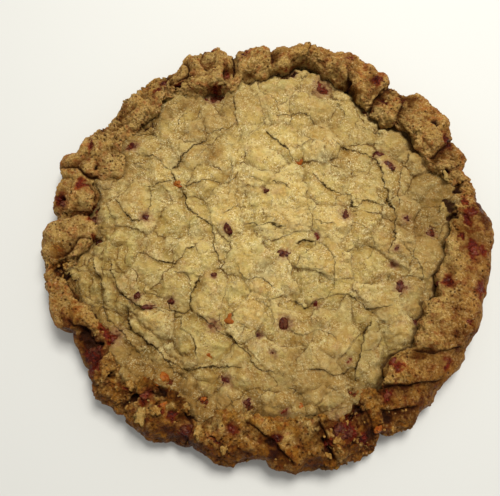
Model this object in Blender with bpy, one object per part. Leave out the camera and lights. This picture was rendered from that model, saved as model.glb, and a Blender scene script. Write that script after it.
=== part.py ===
"""A baked cookie cake: a craggy browned rim round a cracked pale centre, with bits of red fruit.

Blender works in metres; every size below is in millimetres and is scaled at the end.
The origin is at the middle of the underside, +Z is up, and the side that browned most faces -Y.
"""
import math
import random

import bmesh
import bpy
import numpy as np
from mathutils import Vector
from mathutils.bvhtree import BVHTree
from mathutils.geometry import delaunay_2d_cdt

MM = 0.001

# The centre: a slab of dough with domed plates between the cracks
CENTRE_HEIGHT = 18.5
CENTRE_RADIUS = 125.0
CENTRE_SIDES = 90
CENTRE_SPACING = 7.0
GROOVE_DIP = 3.0
GROOVE_WIDTH = 6.0

# The rim: a rolled edge whose section is a rounded box, with lumps along it
RIM_INNER = 122.0
RIM_OUTER = 137.0
RIM_CREST = 20.0
RIM_WAIST_INSIDE = 14.0
RIM_WAIST_OUTSIDE = 9.5
RIM_UNDERSIDE = 0.6
RIM_STEPS = 150
SECTION_STEPS = 17
SECTION_SQUARENESS = 0.72
FRONT_SLOPE = 0.45
FRONT_ANGLE = 268.0
FRONT_SPREAD = 62.0
LUMP_EDGE = 2.6
RIM_BUMPS = ((2.2, 14, 3), (1.3, 7, 4))

# What the outline is centred on, seen from the middle of the cracks and bits below
OUTLINE_MIDDLE = (1.2, 1.85)

# Lumps of the rim, counter-clockwise from +X: middle and half width in degrees, inner reach,
# outer reach and crest in mm, and how many degrees further round its outer edge lies
RIM_LUMPS = (
    (358, 12, 116, 147.5, 25, 0),
    (14, 6, 121, 146, 22, 0),
    (24, 6, 119, 149, 24, 0),
    (34, 8, 118, 153, 27, 0),
    (42, 5, 117, 153, 25, 0),
    (47, 5, 113, 148, 22, 0),
    (57, 6, 114, 151, 26, 0),
    (65, 7, 119, 152, 27, 0),
    (73, 7, 126, 151, 26, 0),
    (83, 6, 124, 148, 25, 0),
    (93, 6, 120, 147, 26, 0),
    (102, 4, 114, 141, 21, 0),
    (109, 8, 117, 148, 26, 0),
    (118, 5, 121, 142, 24, 0),
    (127, 5, 122, 144, 22, 0),
    (135, 8, 116, 141, 22, 0),
    (145, 5, 116, 140, 21, 0),
    (153, 9, 109, 144, 24, 0),
    (160, 5, 118, 148.5, 25, 0),
    (169, 6, 114, 145.5, 24, 0),
    (182, 7, 112, 147.5, 26, 4),
    (191, 4, 125, 144, 20, 0),
    (201, 9, 118, 145, 25, -6),
    (213, 6, 118, 139, 20, 0),
    (226, 8, 119, 143.5, 22, 0),
    (239, 7, 117, 145.5, 22, 0),
    (247, 4, 118, 140, 20, 0),
    (259, 8, 114, 141.5, 22, 0),
    (276, 9, 113, 143.5, 23, 5),
    (286, 5, 118, 147, 23, 0),
    (293, 5, 116, 146.5, 21, 0),
    (301, 6, 111, 146, 22, 6),
    (309, 6, 115, 143.5, 22, 8),
    (318, 8, 112, 144.5, 23, 8),
    (333, 11, 111, 145, 25, 6),
    (347, 8, 112, 146.5, 24.5, 4),
)

# Main cracks of the centre, as the few points that each runs through
CRACKS = (
    ((-23, 105), (-20, 90), (-21, 79)),
    ((-65, 45), (-58, 55), (-43, 69), (-27, 77), (-21, 83)),
    ((-84, 57), (-69, 43), (-51, 19), (-37, 7), (-34, -9)),
    ((-102, 25), (-97, 22), (-93, 12)),
    ((-78, -15), (-59, -18), (-46, -9), (-34, -8), (-29, -21)),
    ((-26, -20), (-11, -33), (-3, -31), (5, -37)),
    ((-15, 6), (3, 7), (11, 5)),
    ((18, -7), (30, -3), (40, -11), (43, -28), (38, -38)),
    ((0, 78), (15, 64), (20, 55)),
    ((32, 46), (45, 32), (57, 22), (67, 25), (81, 17)),
    ((47, 65), (57, 63), (75, 55), (79, 40), (81, 15), (83, 1), (77, -15)),
    ((84, -3), (93, -19), (99, -29)),
    ((95, 62), (91, 35), (88, 16)),
    ((12, -43), (29, -42), (45, -41), (67, -43), (89, -41)),
    ((65, -57), (58, -75), (53, -84), (51, -95)),
    ((22, -90), (37, -88), (53, -84)),
    ((-43, -55), (-27, -65), (-12, -78), (-7, -88), (5, -88)),
    ((-53, -57), (-55, -63), (-47, -76)),
    ((-69, -76), (-51, -85), (-27, -83), (-15, -85)),
    ((-107, -20), (-97, -41), (-86, -58), (-69, -81), (-47, -93)),
    ((-101, -17), (-95, -34), (-87, -47), (-62, -50), (-43, -55)),
)
CRACK_STEP = 5.5
CRACK_HALF_WIDTH = 1.8
CRACK_DEPTH = 2.2
CRACK_SAG = 0.9
CRACK_SAG_WIDTH = 5.0
CRACK_WANDER = 1.2

# Bits of fruit that show: place, length and width
FRUIT = (
    (-37, 105, 9, 6), (-122, 32, 8, 7), (-133, 19, 10, 6), (-92, 63, 8, 5), (25, 53, 12, 8),
    (52, 13, 8, 7), (11, -14, 7, 6), (41, 114, 14, 8), (61, 130, 9, 6), (-15, 135, 9, 6),
    (124, 62, 8, 6), (133, 12, 12, 8), (133, -13, 15, 10), (112, -33, 11, 6), (131, -39, 9, 7),
    (85, -36, 8, 5), (77, -84, 9, 7), (70, -101, 8, 6), (49, -99, 9, 5), (65, -120, 10, 5),
    (11, -59, 8, 7), (-23, -56, 9, 6), (-33, -60, 8, 5), (-62, -92, 7, 5), (-95, -67, 10, 8),
    (-104, -75, 12, 8), (-21, -120, 10, 7), (-47, -120, 11, 8), (-71, -102, 10, 6), (5, -124, 6, 5),
    (43, -120, 15, 11), (84, 50, 7, 5), (-80, 12, 6, 5), (-26, 3, 7, 4),
)
FRUIT_THICKNESS = 5.0
FRUIT_PROUD = 0.35
LARGE_FRUIT = 10

HASH_PRIMES = (374761393, 668265263, 2246822519, 3266489917)


def lattice_value(ix, iy, iz, seed):
    """A repeatable number from -1 to 1 for each point of an integer lattice."""
    whole = [np.asarray(part).astype(np.int64).astype(np.uint32) for part in (ix, iy, iz)]
    mixed = np.full(1, seed, np.uint32) * np.uint32(HASH_PRIMES[3])
    for part, prime in zip(whole, HASH_PRIMES):
        mixed = mixed ^ (part * np.uint32(prime))
        mixed = (mixed ^ (mixed >> np.uint32(15))) * np.uint32(HASH_PRIMES[3])
    return (mixed ^ (mixed >> np.uint32(13))).astype(float) / 2147483648.0 - 1.0


def noise(x, y, z, size, seed):
    """Smooth noise from -1 to 1 with features of about the given size."""
    cells = [np.floor(np.asarray(axis, float) / size) for axis in (x, y, z)]
    parts = [np.asarray(axis, float) / size - cell for axis, cell in zip((x, y, z), cells)]
    fades = [part * part * part * (part * (part * 6 - 15) + 10) for part in parts]
    total = 0.0
    for corner in range(8):
        steps = (corner & 1, corner >> 1 & 1, corner >> 2 & 1)
        weight = 1.0
        for fade, step in zip(fades, steps):
            weight = weight * (fade if step else 1 - fade)
        total = total + weight * lattice_value(*(c + s for c, s in zip(cells, steps)), seed)
    return total


def angle_gap(angle, middle):
    """Degrees from the middle to the angle, from -180 to 180."""
    return (angle - middle + 180.0) % 360.0 - 180.0


def rim_reach(angle, across):
    """Inner radius, outer radius and crest of the rim at an angle; across is -1 inside, 1 outside."""
    inner = np.full(np.shape(angle), RIM_INNER)
    outer = np.full(np.shape(angle), RIM_OUTER)
    crest = np.full(np.shape(angle), RIM_CREST)
    for middle, half, lump_in, lump_out, lump_crest, slant in RIM_LUMPS:
        gap = np.abs(angle_gap(angle, middle + slant * across * 0.5)) / half
        dome = np.sqrt(np.clip(1.0 - gap ** LUMP_EDGE, 0.0, 1.0))
        inner = np.minimum(inner, RIM_INNER + (lump_in - RIM_INNER) * dome)
        outer = np.maximum(outer, RIM_OUTER + (lump_out - RIM_OUTER) * dome)
        crest = np.maximum(crest, RIM_CREST + (lump_crest - RIM_CREST) * dome)
    return inner, outer, crest


def rim_surface(angle, turn):
    """Points of the rim: angle round the cake and turn round its section, both in degrees."""
    across = np.cos(np.radians(turn))
    upward = np.sin(np.radians(turn))
    front = np.exp(-(angle_gap(angle, FRONT_ANGLE) / FRONT_SPREAD) ** 4)
    shoulder = SECTION_SQUARENESS + FRONT_SLOPE * front * (across > 0) * (upward > 0)
    wide = np.sign(across) * np.abs(across) ** shoulder
    tall = np.sign(upward) * np.abs(upward) ** shoulder
    inner, outer, crest = rim_reach(angle, across)
    radius = (inner + outer) / 2 + (outer - inner) / 2 * wide
    waist = np.where(across < 0, RIM_WAIST_INSIDE, RIM_WAIST_OUTSIDE)
    height = waist + np.where(tall > 0, crest - waist, waist) * tall
    x = radius * np.cos(np.radians(angle))
    y = radius * np.sin(np.radians(angle))
    bump = sum(size * noise(x, y, height, spread, seed) for size, spread, seed in RIM_BUMPS)
    radius = radius + bump * wide
    height = np.maximum(height + bump * np.maximum(tall, 0), RIM_UNDERSIDE)
    return radius * np.cos(np.radians(angle)), radius * np.sin(np.radians(angle)), height


def smooth_line(points, step):
    """Points about a step apart along a smooth curve through the given points."""
    given = [np.array(point, float) for point in points]
    given = [2 * given[0] - given[1]] + given + [2 * given[-1] - given[-2]]
    line = []
    for a, b, c, d in zip(given, given[1:], given[2:], given[3:]):
        count = max(1, round(np.linalg.norm(c - b) / step))
        for t in np.arange(count) / count:
            bend = (2 * a - 5 * b + 4 * c - d) * t ** 2 + (3 * b - a - 3 * c + d) * t ** 3
            line.append((2 * b + (c - a) * t + bend) / 2)
    line.append(given[-2])
    line = np.array(line)
    x, y = line.T
    line[:, 0] += CRACK_WANDER * noise(x, y, 0, 9, 11)
    line[:, 1] += CRACK_WANDER * noise(x, y, 0, 9, 12)
    return line


def crack_lines():
    """Every main crack as a line of points, with how open it is at each."""
    lines = []
    for points in CRACKS:
        line = smooth_line(points, CRACK_STEP)
        along = np.linspace(0, 1, len(line))
        lines.append((line, 0.35 + 0.65 * np.sin(math.pi * along) ** 0.5))
    return lines


def crack_drop(x, y, lines):
    """How far the surface drops at each point on account of the main cracks."""
    drop = np.zeros_like(x)
    for line, openness in lines:
        for start, end, open_a, open_b in zip(line, line[1:], openness, openness[1:]):
            run = end - start
            t = np.clip(((x - start[0]) * run[0] + (y - start[1]) * run[1]) / run.dot(run), 0, 1)
            gap = np.hypot(x - start[0] - t * run[0], y - start[1] - t * run[1])
            sharp = CRACK_DEPTH * np.clip(1 - gap / CRACK_HALF_WIDTH, 0, 1)
            soft = CRACK_SAG * np.exp(-(gap / CRACK_SAG_WIDTH) ** 2)
            drop = np.maximum(drop, (sharp + soft) * (open_a + (open_b - open_a) * t))
    return drop


def centre_surface(x, y, lines):
    """Height of the centre's top at each place."""
    radius = np.hypot(x, y)
    angle = np.degrees(np.arctan2(y, x))
    inner = rim_reach(angle, -1.0)[0]
    dip = GROOVE_DIP * np.exp(-(np.maximum(inner + 1 - radius, 0) / GROOVE_WIDTH) ** 2)
    swell = 1.3 * noise(x, y, 0, 38, 21) + 0.8 * noise(x, y, 0, 15, 22)
    return CENTRE_HEIGHT + swell - dip - crack_drop(x, y, lines)


def new_object(name, verts, faces, material):
    """A mesh object from points in millimetres."""
    mesh = bpy.data.meshes.new(name)
    mesh.from_pydata([tuple(float(value) * MM for value in vert) for vert in verts], [], faces)
    mesh.materials.append(material)
    built = bmesh.new()
    built.from_mesh(mesh)
    bmesh.ops.triangulate(built, faces=built.faces)
    bmesh.ops.recalc_face_normals(built, faces=built.faces)
    built.to_mesh(mesh)
    built.free()
    thing = bpy.data.objects.new(name, mesh)
    bpy.context.scene.collection.objects.link(thing)
    return thing


def build_rim(material):
    """The rolled rim, a closed ring."""
    turns = np.arange(SECTION_STEPS) * 360.0 / SECTION_STEPS - 90.0
    angles = np.arange(RIM_STEPS) * 360.0 / RIM_STEPS
    angle_grid, turn_grid = np.meshgrid(angles, turns, indexing="ij")
    x, y, z = rim_surface(angle_grid, turn_grid)
    verts = np.stack([x, y, z], axis=-1).reshape(-1, 3)
    faces = []
    for i in range(RIM_STEPS):
        for j in range(SECTION_STEPS):
            near = i * SECTION_STEPS
            far = (i + 1) % RIM_STEPS * SECTION_STEPS
            after = (j + 1) % SECTION_STEPS
            faces.append((near + j, far + j, far + after, near + after))
    return new_object("rim", verts, faces, material)


def centre_points(lines):
    """Plan points of the centre and the edges that run along its cracks."""
    turn = np.arange(CENTRE_SIDES) * 2 * math.pi / CENTRE_SIDES
    points = [(CENTRE_RADIUS * math.cos(t), CENTRE_RADIUS * math.sin(t)) for t in turn]
    edges = [(i, (i + 1) % CENTRE_SIDES) for i in range(CENTRE_SIDES)]
    taken = []
    for line, openness in lines:
        run = np.gradient(line, axis=0)
        side = np.stack([-run[:, 1], run[:, 0]], axis=1) / np.linalg.norm(run, axis=1)[:, None]
        for offset in (-CRACK_HALF_WIDTH, 0.0, CRACK_HALF_WIDTH):
            first = len(points)
            points.extend(map(tuple, line + side * offset))
            edges.extend((first + i, first + i + 1) for i in range(len(line) - 1))
        taken.extend(line)
    taken = np.array(taken)
    rng = random.Random(5)
    row_step = CENTRE_SPACING * math.sqrt(3) / 2
    rows = int(CENTRE_RADIUS / row_step)
    for row in range(-rows, rows + 1):
        for column in range(-rows - 2, rows + 3):
            x = (column + row % 2 / 2) * CENTRE_SPACING + rng.uniform(-1, 1)
            y = row * row_step + rng.uniform(-1, 1)
            inside = math.hypot(x, y) < CENTRE_RADIUS - 3
            if inside and np.hypot(taken[:, 0] - x, taken[:, 1] - y).min() > 4.5:
                points.append((x, y))
    return points, edges


def build_centre(lines, material):
    """The cracked slab inside the rim, flat underneath."""
    points, edges = centre_points(lines)
    plan, _, triangles, *_ = delaunay_2d_cdt([Vector(p) for p in points], edges, [], 0, 0.05)
    flat = np.array([tuple(p) for p in plan])
    tops = centre_surface(flat[:, 0], flat[:, 1], lines)
    verts = [(x, y, z) for (x, y), z in zip(flat, tops)]
    faces = [tuple(triangle) for triangle in triangles]
    sides = {}
    for face in faces:
        for a, b in zip(face, face[1:] + face[:1]):
            sides[(a, b)] = True
    loose = [(a, b) for a, b in sides if (b, a) not in sides]
    follow = dict(loose)
    start = loose[0][0]
    ring = [start]
    while follow[ring[-1]] != start:
        ring.append(follow[ring[-1]])
    below = {index: len(verts) + place for place, index in enumerate(ring)}
    verts.extend((flat[index][0], flat[index][1], 0.0) for index in ring)
    for a, b in loose:
        faces.append((b, a, below[a], below[b]))
    faces.append(tuple(below[index] for index in reversed(ring)))
    return new_object("centre", verts, faces, material)


def build_fruit(carriers, material):
    """A lumpy bit of fruit at each place, half sunk in what carries it."""
    trees = [BVHTree.FromObject(carrier, bpy.context.evaluated_depsgraph_get()) for carrier in carriers]
    rng = random.Random(8)
    pieces = []
    for x, y, length, width in FRUIT:
        above = Vector((x * MM, y * MM, 0.1))
        hits = [tree.ray_cast(above, Vector((0, 0, -1))) for tree in trees]
        point, normal = max(((hit[0], hit[1]) for hit in hits if hit[0]), key=lambda hit: hit[0].z)
        built = bmesh.new()
        detail = 2 if max(length, width) >= LARGE_FRUIT else 1
        bmesh.ops.create_icosphere(built, subdivisions=detail, radius=0.5)
        heading = rng.uniform(0, math.pi)
        tilt = Vector((0, 0, 1)).rotation_difference(normal).to_matrix()
        for vert in built.verts:
            bulge = rng.uniform(0.85, 1.12)
            local = Vector((vert.co.x * length, vert.co.y * width, vert.co.z * FRUIT_THICKNESS)) * bulge
            spun = Vector((
                local.x * math.cos(heading) - local.y * math.sin(heading),
                local.x * math.sin(heading) + local.y * math.cos(heading),
                local.z - FRUIT_THICKNESS * (0.5 - FRUIT_PROUD),
            ))
            vert.co = point + tilt @ spun * MM
        mesh = bpy.data.meshes.new("fruit")
        built.to_mesh(mesh)
        built.free()
        mesh.materials.append(material)
        piece = bpy.data.objects.new("fruit", mesh)
        pieces.append(piece)
    return pieces


def join_pieces(base, pieces):
    """One Boolean union of the base with all the pieces; the pieces are then removed."""
    group = bpy.data.collections.new("pieces")
    bpy.context.scene.collection.children.link(group)
    for piece in pieces:
        for owner in list(piece.users_collection):
            owner.objects.unlink(piece)
        group.objects.link(piece)
    union = base.modifiers.new("union", "BOOLEAN")
    union.operation = "UNION"
    union.operand_type = "COLLECTION"
    union.collection = group
    union.solver = "EXACT"
    union.material_mode = "TRANSFER"
    bpy.context.view_layer.update()
    joined = bpy.data.meshes.new_from_object(base.evaluated_get(bpy.context.evaluated_depsgraph_get()))
    base.modifiers.clear()
    base.data = joined
    for piece in pieces:
        bpy.data.objects.remove(piece)
    bpy.data.collections.remove(group)


def keep_largest_body(thing):
    """Drops loose scraps that the union left and merges points that coincide."""
    built = bmesh.new()
    built.from_mesh(thing.data)
    bmesh.ops.remove_doubles(built, verts=built.verts, dist=0.02 * MM)
    bmesh.ops.dissolve_degenerate(built, edges=built.edges, dist=0.02 * MM)
    bmesh.ops.triangulate(built, faces=built.faces)
    unseen = set(built.verts)
    bodies = []
    while unseen:
        body = {unseen.pop()}
        edge_of_body = list(body)
        while edge_of_body:
            vert = edge_of_body.pop()
            near = {edge.other_vert(vert) for edge in vert.link_edges} & unseen
            unseen -= near
            body |= near
            edge_of_body.extend(near)
        bodies.append(body)
    bodies.sort(key=len)
    scraps = [vert for body in bodies[:-1] for vert in body]
    bmesh.ops.delete(built, geom=scraps, context="VERTS")
    built.to_mesh(thing.data)
    built.free()


def centre_outline(thing):
    """Moves the mesh so that the middle of its outline is at the origin."""
    for vert in thing.data.vertices:
        vert.co.x -= OUTLINE_MIDDLE[0] * MM
        vert.co.y -= OUTLINE_MIDDLE[1] * MM


def dough_material(name, colour, roughness):
    """A plain baked finish; dough and fruit are not metal."""
    material = bpy.data.materials.new(name)
    material.use_nodes = True
    shader = material.node_tree.nodes["Principled BSDF"]
    shader.inputs["Base Color"].default_value = (*colour, 1.0)
    shader.inputs["Roughness"].default_value = roughness
    shader.inputs["Metallic"].default_value = 0.0
    material.diffuse_color = (*colour, 1.0)
    return material


def main():
    """Builds the cookie cake as one solid."""
    for thing in list(bpy.data.objects):
        bpy.data.objects.remove(thing)
    pale = dough_material("pale_dough", (0.60, 0.40, 0.15), 0.75)
    brown = dough_material("browned_dough", (0.35, 0.18, 0.05), 0.8)
    red = dough_material("red_fruit", (0.22, 0.02, 0.02), 0.35)
    lines = crack_lines()
    cookie = build_centre(lines, pale)
    rim = build_rim(brown)
    bpy.context.view_layer.update()
    fruit = build_fruit([cookie, rim], red)
    join_pieces(cookie, [rim] + fruit)
    keep_largest_body(cookie)
    centre_outline(cookie)
    cookie.name = "cookie"
    cookie.data.name = "cookie"
    cookie.data.shade_smooth()
    cookie.data.set_sharp_from_angle(angle=math.radians(40))


main()
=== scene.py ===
"""The looks of the cookie cake: crust, cracks, fruit, jam and crumbs, with floor, light and camera.

Shapes are worked out in millimetres, in the frame of the measurements, and moved so that the
middle of the outline is at the origin, as in the solid. A seed picks one pattern of a noise.
"""
import math
import random
from functools import reduce

import bmesh
import bpy
import numpy as np
from mathutils import Matrix, Vector
from mathutils.bvhtree import BVHTree


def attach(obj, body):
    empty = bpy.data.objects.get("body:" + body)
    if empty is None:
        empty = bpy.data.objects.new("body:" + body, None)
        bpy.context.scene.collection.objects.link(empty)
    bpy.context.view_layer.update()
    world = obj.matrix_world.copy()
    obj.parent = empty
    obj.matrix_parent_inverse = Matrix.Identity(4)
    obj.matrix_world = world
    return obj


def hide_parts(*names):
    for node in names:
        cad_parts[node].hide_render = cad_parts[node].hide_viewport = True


MM = 0.001
OUTLINE_MIDDLE = (1.2, 1.85)

# The centre: its disc, how it goes on under the rim, and the groove along the rim
CENTRE_HEIGHT = 18.5
CENTRE_RADIUS = 132.0
CENTRE_OVERLAP = 3.5
CENTRE_SINK = 1.5
CENTRE_LOWEST = 2.0
CENTRE_CELLS = 312
GROOVE_DIP = 4.0
GROOVE_WIDTH = 6.0
GROOVE_FILL = 3.4

# The rim: how far it reaches, how high, the radius and height of its middle, and its shape
RIM_INNER = 122.0
RIM_OUTER = 137.0
RIM_CREST = 20.0
RIM_WAIST_INSIDE = 17.0
RIM_WAIST_OUTSIDE = 9.5
RIM_UNDERSIDE = 0.6
RIM_MIDDLE = (130, 10)
SECTION_SQUARENESS = 0.72
FRONT_SLOPE = 0.45
LUMP_EDGE = 2.6
RIM_BUMPS = ((2.2, 14, 3), (1.3, 7, 4))

# The rim's net of points: steps round the cake, turns round the section in degrees, and about
# how far the section reaches sideways, up and down from its waist in mm
RIM_STEPS = 1500
RIM_HALVES = 2
SECTION_STEPS = 124
SECTION_TURNS = (-88, 215)
SECTION_SIZE = (14.5, 14, 9.5)
HIDDEN_TURNS = (225, 240, 258)

# Stretches at the front: middle and half width in degrees
SLOPING_FRONT = (268.0, 62.0)
BROWNED_AND_SHADED_FRONT = (262, 58)
TORN_FRONT = (245, 34)

# Lumps of the rim, counter-clockwise from +X: middle and half width in degrees, inner reach,
# outer reach and crest in mm, and how many degrees further round its outer edge lies
RIM_LUMPS = (
    (358, 12, 116, 147.5, 25, 0), (14, 6, 121, 146, 22, 0), (24, 6, 119, 149, 24, 0),
    (34, 8, 118, 153, 27, 0), (42, 5, 117, 153, 25, 0), (47, 5, 113, 148, 22, 0), (57, 6, 114, 151, 26, 0),
    (65, 7, 119, 152, 27, 0), (73, 7, 126, 151, 26, 0), (83, 6, 124, 148, 25, 0), (93, 6, 120, 147, 26, 0),
    (102, 4, 114, 141, 21, 0), (109, 8, 117, 148, 26, 0), (118, 5, 121, 142, 24, 0),
    (127, 5, 122, 144, 22, 0), (135, 8, 116, 141, 22, 0), (145, 5, 116, 140, 21, 0),
    (153, 9, 109, 144, 24, 0), (160, 5, 118, 148.5, 25, 0), (169, 6, 114, 145.5, 24, 0),
    (176, 4, 118, 140.5, 21, 0), (182, 7, 112, 147.5, 26, 4), (191, 4, 125, 144, 20, 0),
    (201, 9, 118, 145, 25, -6), (213, 6, 118, 139, 20, 0), (226, 8, 119, 143.5, 22, 0),
    (239, 7, 117, 145.5, 22, 0), (247, 4, 118, 140, 20, 0), (259, 8, 114, 141.5, 22, 0),
    (276, 9, 113, 143.5, 23, 5), (286, 5, 118, 147, 23, 0), (293, 5, 116, 146.5, 21, 0),
    (301, 6, 111, 146, 22, 6), (309, 6, 115, 143.5, 22, 8), (318, 8, 112, 144.5, 23, 8),
    (333, 11, 111, 145, 25, 6), (347, 8, 112, 146.5, 24.5, 4),
)

# Where the rim starts further out, or below zero further in, than its lumps say: middle and half
# width in degrees, and mm
INNER_SHIFTS = (
    (78, 15, 8.0), (77, 5, 6), (85, 4, -3), (64, 8, 3.5), (57, 6, 6), (38, 9, 3), (121, 6, 0.5),
    (147, 4, 4), (4, 8, 5), (18, 6, 4), (36, 10, 2), (197, 9, 6.5), (104, 5, -5), (241, 9, -6), (162, 4, 3),
    (291, 5, 3.5), (263, 8, -2.5), (218, 6, -1.5),
)

# Stretches of the rim whose outer half is smooth: middle and half width in degrees, and how much
SMOOTHED = ((352, 24, 0.65), (322, 14, 0.4), (205, 7, 0.4), (182, 6, 0.3), (232, 24, 0.35))

# Stretches of the rim that are crumbly: middle and half width in degrees, and how much
CRUMBLY = (
    (15, 7, 0.5), (47, 6, 0.5), (70, 14, 0.35), (103, 5, 0.5), (134, 20, 0.5), (191, 4, 0.6), (32, 20, 0.3),
    (90, 60, 0.28), (228, 9, 0.8), (243, 9, 0.7), (259, 8, 0.6), (290, 9, 0.8), (303, 6, 0.4),
)
LEAST_CRUMBLY = 0.18

# How sharp the groove between centre and rim is: degrees, and 1 for a deep slit painted with its dark
# shade, 0 for none
GROOVE = (
    (0, 0.8), (5, 0.9), (8, 0.5), (12, 0.1), (20, 0.3), (24, 0.8), (30, 1.0), (38, 1.0), (44, 1.0),
    (48, 0.9), (52, 1.0), (57, 1.0), (66, 1.0), (75, 1.0), (80, 1.0), (96, 1.0), (99, 0.4), (104, 0.3),
    (107, 1.0), (116, 0.8), (122, 0.1), (127, 0.2), (132, 0.5), (140, 0.4), (143, 0.1), (147, 0.5),
    (158, 0.6), (162, 0.3), (166, 0.75), (178, 0.6), (184, 0.5), (192, 0.4), (204, 0.6), (210, 0.3),
    (216, 0.1), (262, 0.1), (266, 0.5), (275, 0.7), (283, 0.4), (290, 0.1), (298, 0.2), (304, 0.9),
    (310, 1.0), (345, 1.0), (356, 0.7),
)

# Darker, browner places of the centre, partly painted shade: degrees and mm of the middle, half
# widths in degrees and mm, and how much
BROWNER = (
    (116, 88, 26, 24, 0.8), (102, 102, 15, 11, 1.0), (146, 98, 20, 14, 0.6), (62, 98, 20, 16, 0.75),
    (3, 97, 15, 15, 1.5), (120, 112, 9, 6, 1.4), (288, 99, 22, 18, 1.1), (241, 116, 18, 11.5, 2.4),
    (130, 113, 20, 7, 1.15), (146, 113, 12, 7, 1.15), (162, 113, 10, 6, 1.0), (262, 113, 15, 8, 1.5),
    (302, 74, 16, 12, 0.5), (40, 72, 14, 10, 0.5), (40, 101, 12, 8, 0.5), (220, 70, 12, 9, 0.5),
    (320, 88, 12, 9, 0.5),
)

# Golden and greyish patches of the centre: x, y and reach in mm, and how much
GOLDEN = (
    (-36, 58, 8, 1.0), (56, 56, 10, 0.6), (-22, 32, 13, 0.5), (65, 8, 12, 0.2), (36, 74, 11, 0.45),
    (-92, 24, 10, 0.4), (-38, 84, 11, 0.5), (73, -20, 10, 0.15), (-70, -8, 10, 0.35), (18, -66, 12, 0.35),
    (44, -10, 9, 0.3),
)
GREYISH = (
    (-62, 52, 6, 0.7), (39, 54, 6, 0.8), (-12, 48, 6, 0.6), (-2, -24, 8, 0.7), (-46, 2, 6, 0.6),
    (-60, -70, 8, 0.5),
)
PATCH_WARPS = ((3.0, 9), (1.6, 3.5))

# Where the centre is broken into rows of small lumps: middle and half width in degrees, the
# radius from which they start and how much
COBBLES = (
    (215, 38, 92, 1.0), (262, 30, 97, 0.8), (300, 22, 100, 0.5), (350, 22, 100, 0.35), (140, 22, 104, 0.45),
)

# Cracks of the centre: how open each is, from 0 to 1, and the few points that it runs through
CRACKS = (
    (0.9, ((-23, 105), (-20, 90), (-20, 80))),
    (0.9, ((-65, 45), (-58, 55), (-43, 69), (-39, 74))),
    (0.6, ((-39, 74), (-27, 77), (-21, 83))),
    (0.5, ((-84, 57), (-75, 54), (-67, 47))),
    (0.95, ((-67, 47), (-57, 31), (-54, 21), (-46, 14), (-37, 7), (-34, -9), (-29, -20))),
    (0.8, ((-102, 25), (-97, 19), (-91, 11), (-81, 11))),
    (0.7, ((-80, -11), (-76, -16), (-63, -19), (-54, -16), (-52, -10), (-44, -9))),
    (0.7, ((-19, -21), (-16, -27), (-11, -31), (-3, -31), (5, -37))),
    (0.7, ((-15, 6), (3, 7), (11, 5))),
    (0.9, ((18, -7), (25, -5), (32, -5))),
    (0.35, ((32, -5), (38, -8), (43, -21), (44, -34), (38, -40))),
    (0.65, ((0, 77), (9, 68), (17, 59), (19, 53))),
    (0.65, ((30, 47), (39, 37), (45, 31), (55, 26), (60, 20), (67, 24), (80, 19))),
    (0.85, ((46, 66), (57, 63), (69, 60), (76, 54), (79, 44), (81, 33), (82, 20), (86, 8), (79, -15))),
    (0.7, ((88, -6), (96, -21), (100, -33))),
    (0.6, ((99, 60), (95, 50), (91, 37), (88, 16))),
    (0.6, ((7, -46), (17, -44), (24, -49), (32, -43), (44, -41), (55, -43), (64, -50), (79, -47))),
    (0.9, ((65, -57), (57, -74), (53, -85), (52, -95))),
    (0.8, ((21, -87), (29, -86), (41, -90), (53, -85))),
    (0.9, ((-44, -53), (-30, -63), (-20, -69), (-12, -76), (-7, -86), (5, -88))),
    (0.6, ((-54, -53), (-54, -60), (-48, -65), (-43, -80))),
    (0.8, ((-66, -78), (-51, -86), (-30, -84), (-15, -86))),
    (1.0, ((-103, -16), (-99, -27), (-94, -37), (-86, -44), (-76, -49), (-66, -50))),
    (0.9, ((-86, -44), (-88, -56), (-80, -65), (-66, -77), (-57, -87), (-47, -93))),
    (0.8, ((-113, -10), (-111, -21), (-104, -36), (-102, -52), (-89, -65), (-74, -80))),
    (0.9, ((-61, -41), (-60, -50), (-50, -51), (-48, -39), (-43, -27))),
    (0.5, ((-81, 33), (-73, 36), (-63, 39))),
    (0.5, ((-57, 33), (-41, 39), (-31, 36), (-24, 36), (-18, 43))),
    (0.3, ((-24, 56), (-23, 44), (-25, 35))),
    (0.35, ((-61, 80), (-60, 86), (-55, 91))),
    (0.4, ((-43, 87), (-41, 75), (-31, 75))),
    (0.3, ((-79, 33), (-77, 22), (-79, 15))),
    (0.4, ((-46, 14), (-51, 9), (-50, -1))),
    (0.4, ((-91, 73), (-81, 76), (-76, 72), (-83, 68))),
    (0.4, ((4, 90), (14, 89), (28, 90), (37, 80), (43, 75))),
    (0.5, ((31, 10), (36, 6), (43, 6))),
    (0.4, ((-59, -26), (-53, -27), (-49, -33), (-47, -46))),
    (0.4, ((-77, -31), (-78, -39), (-67, -41))),
    (0.4, ((-24, -100), (-19, -110), (-9, -113))),
    (0.4, ((11, -97), (19, -99), (22, -106))),
    (0.3, ((-12, 42), (-3, 36), (9, 37), (17, 30))),
    (0.3, ((-30, 14), (-18, 19), (-6, 15))),
    (0.3, ((56, 8), (66, 3), (70, -8), (64, -18))),
    (0.3, ((10, -60), (22, -66), (34, -63), (42, -70))),
    (0.3, ((-9, -42), (2, -50), (4, -62))),
    (0.3, ((62, 84), (72, 78), (84, 74))),
    (0.3, ((-2, 108), (8, 101), (10, 92))),
    (0.3, ((50, 100), (56, 90), (52, 80))),
)
CRACK_STEP = 2.0
CRACK_HALF_WIDTH = 0.7
CRACK_DEPTH = 0.8
CRACK_SAG = 1.2
CRACK_SAG_WIDTH = 4.5
CRACK_LIFT = 1.3
CRACK_LIFT_REACH = (6.5, 4.5)
CRACK_WANDER = 0.8
CRACK_WANDER_SIZE = 9
LINE_REACH = 12
FAR_OFF = 99.0
CRACK_WARPS = ((1.3, 8), (1.0, 3.2), (0.7, 1.6))

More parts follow.
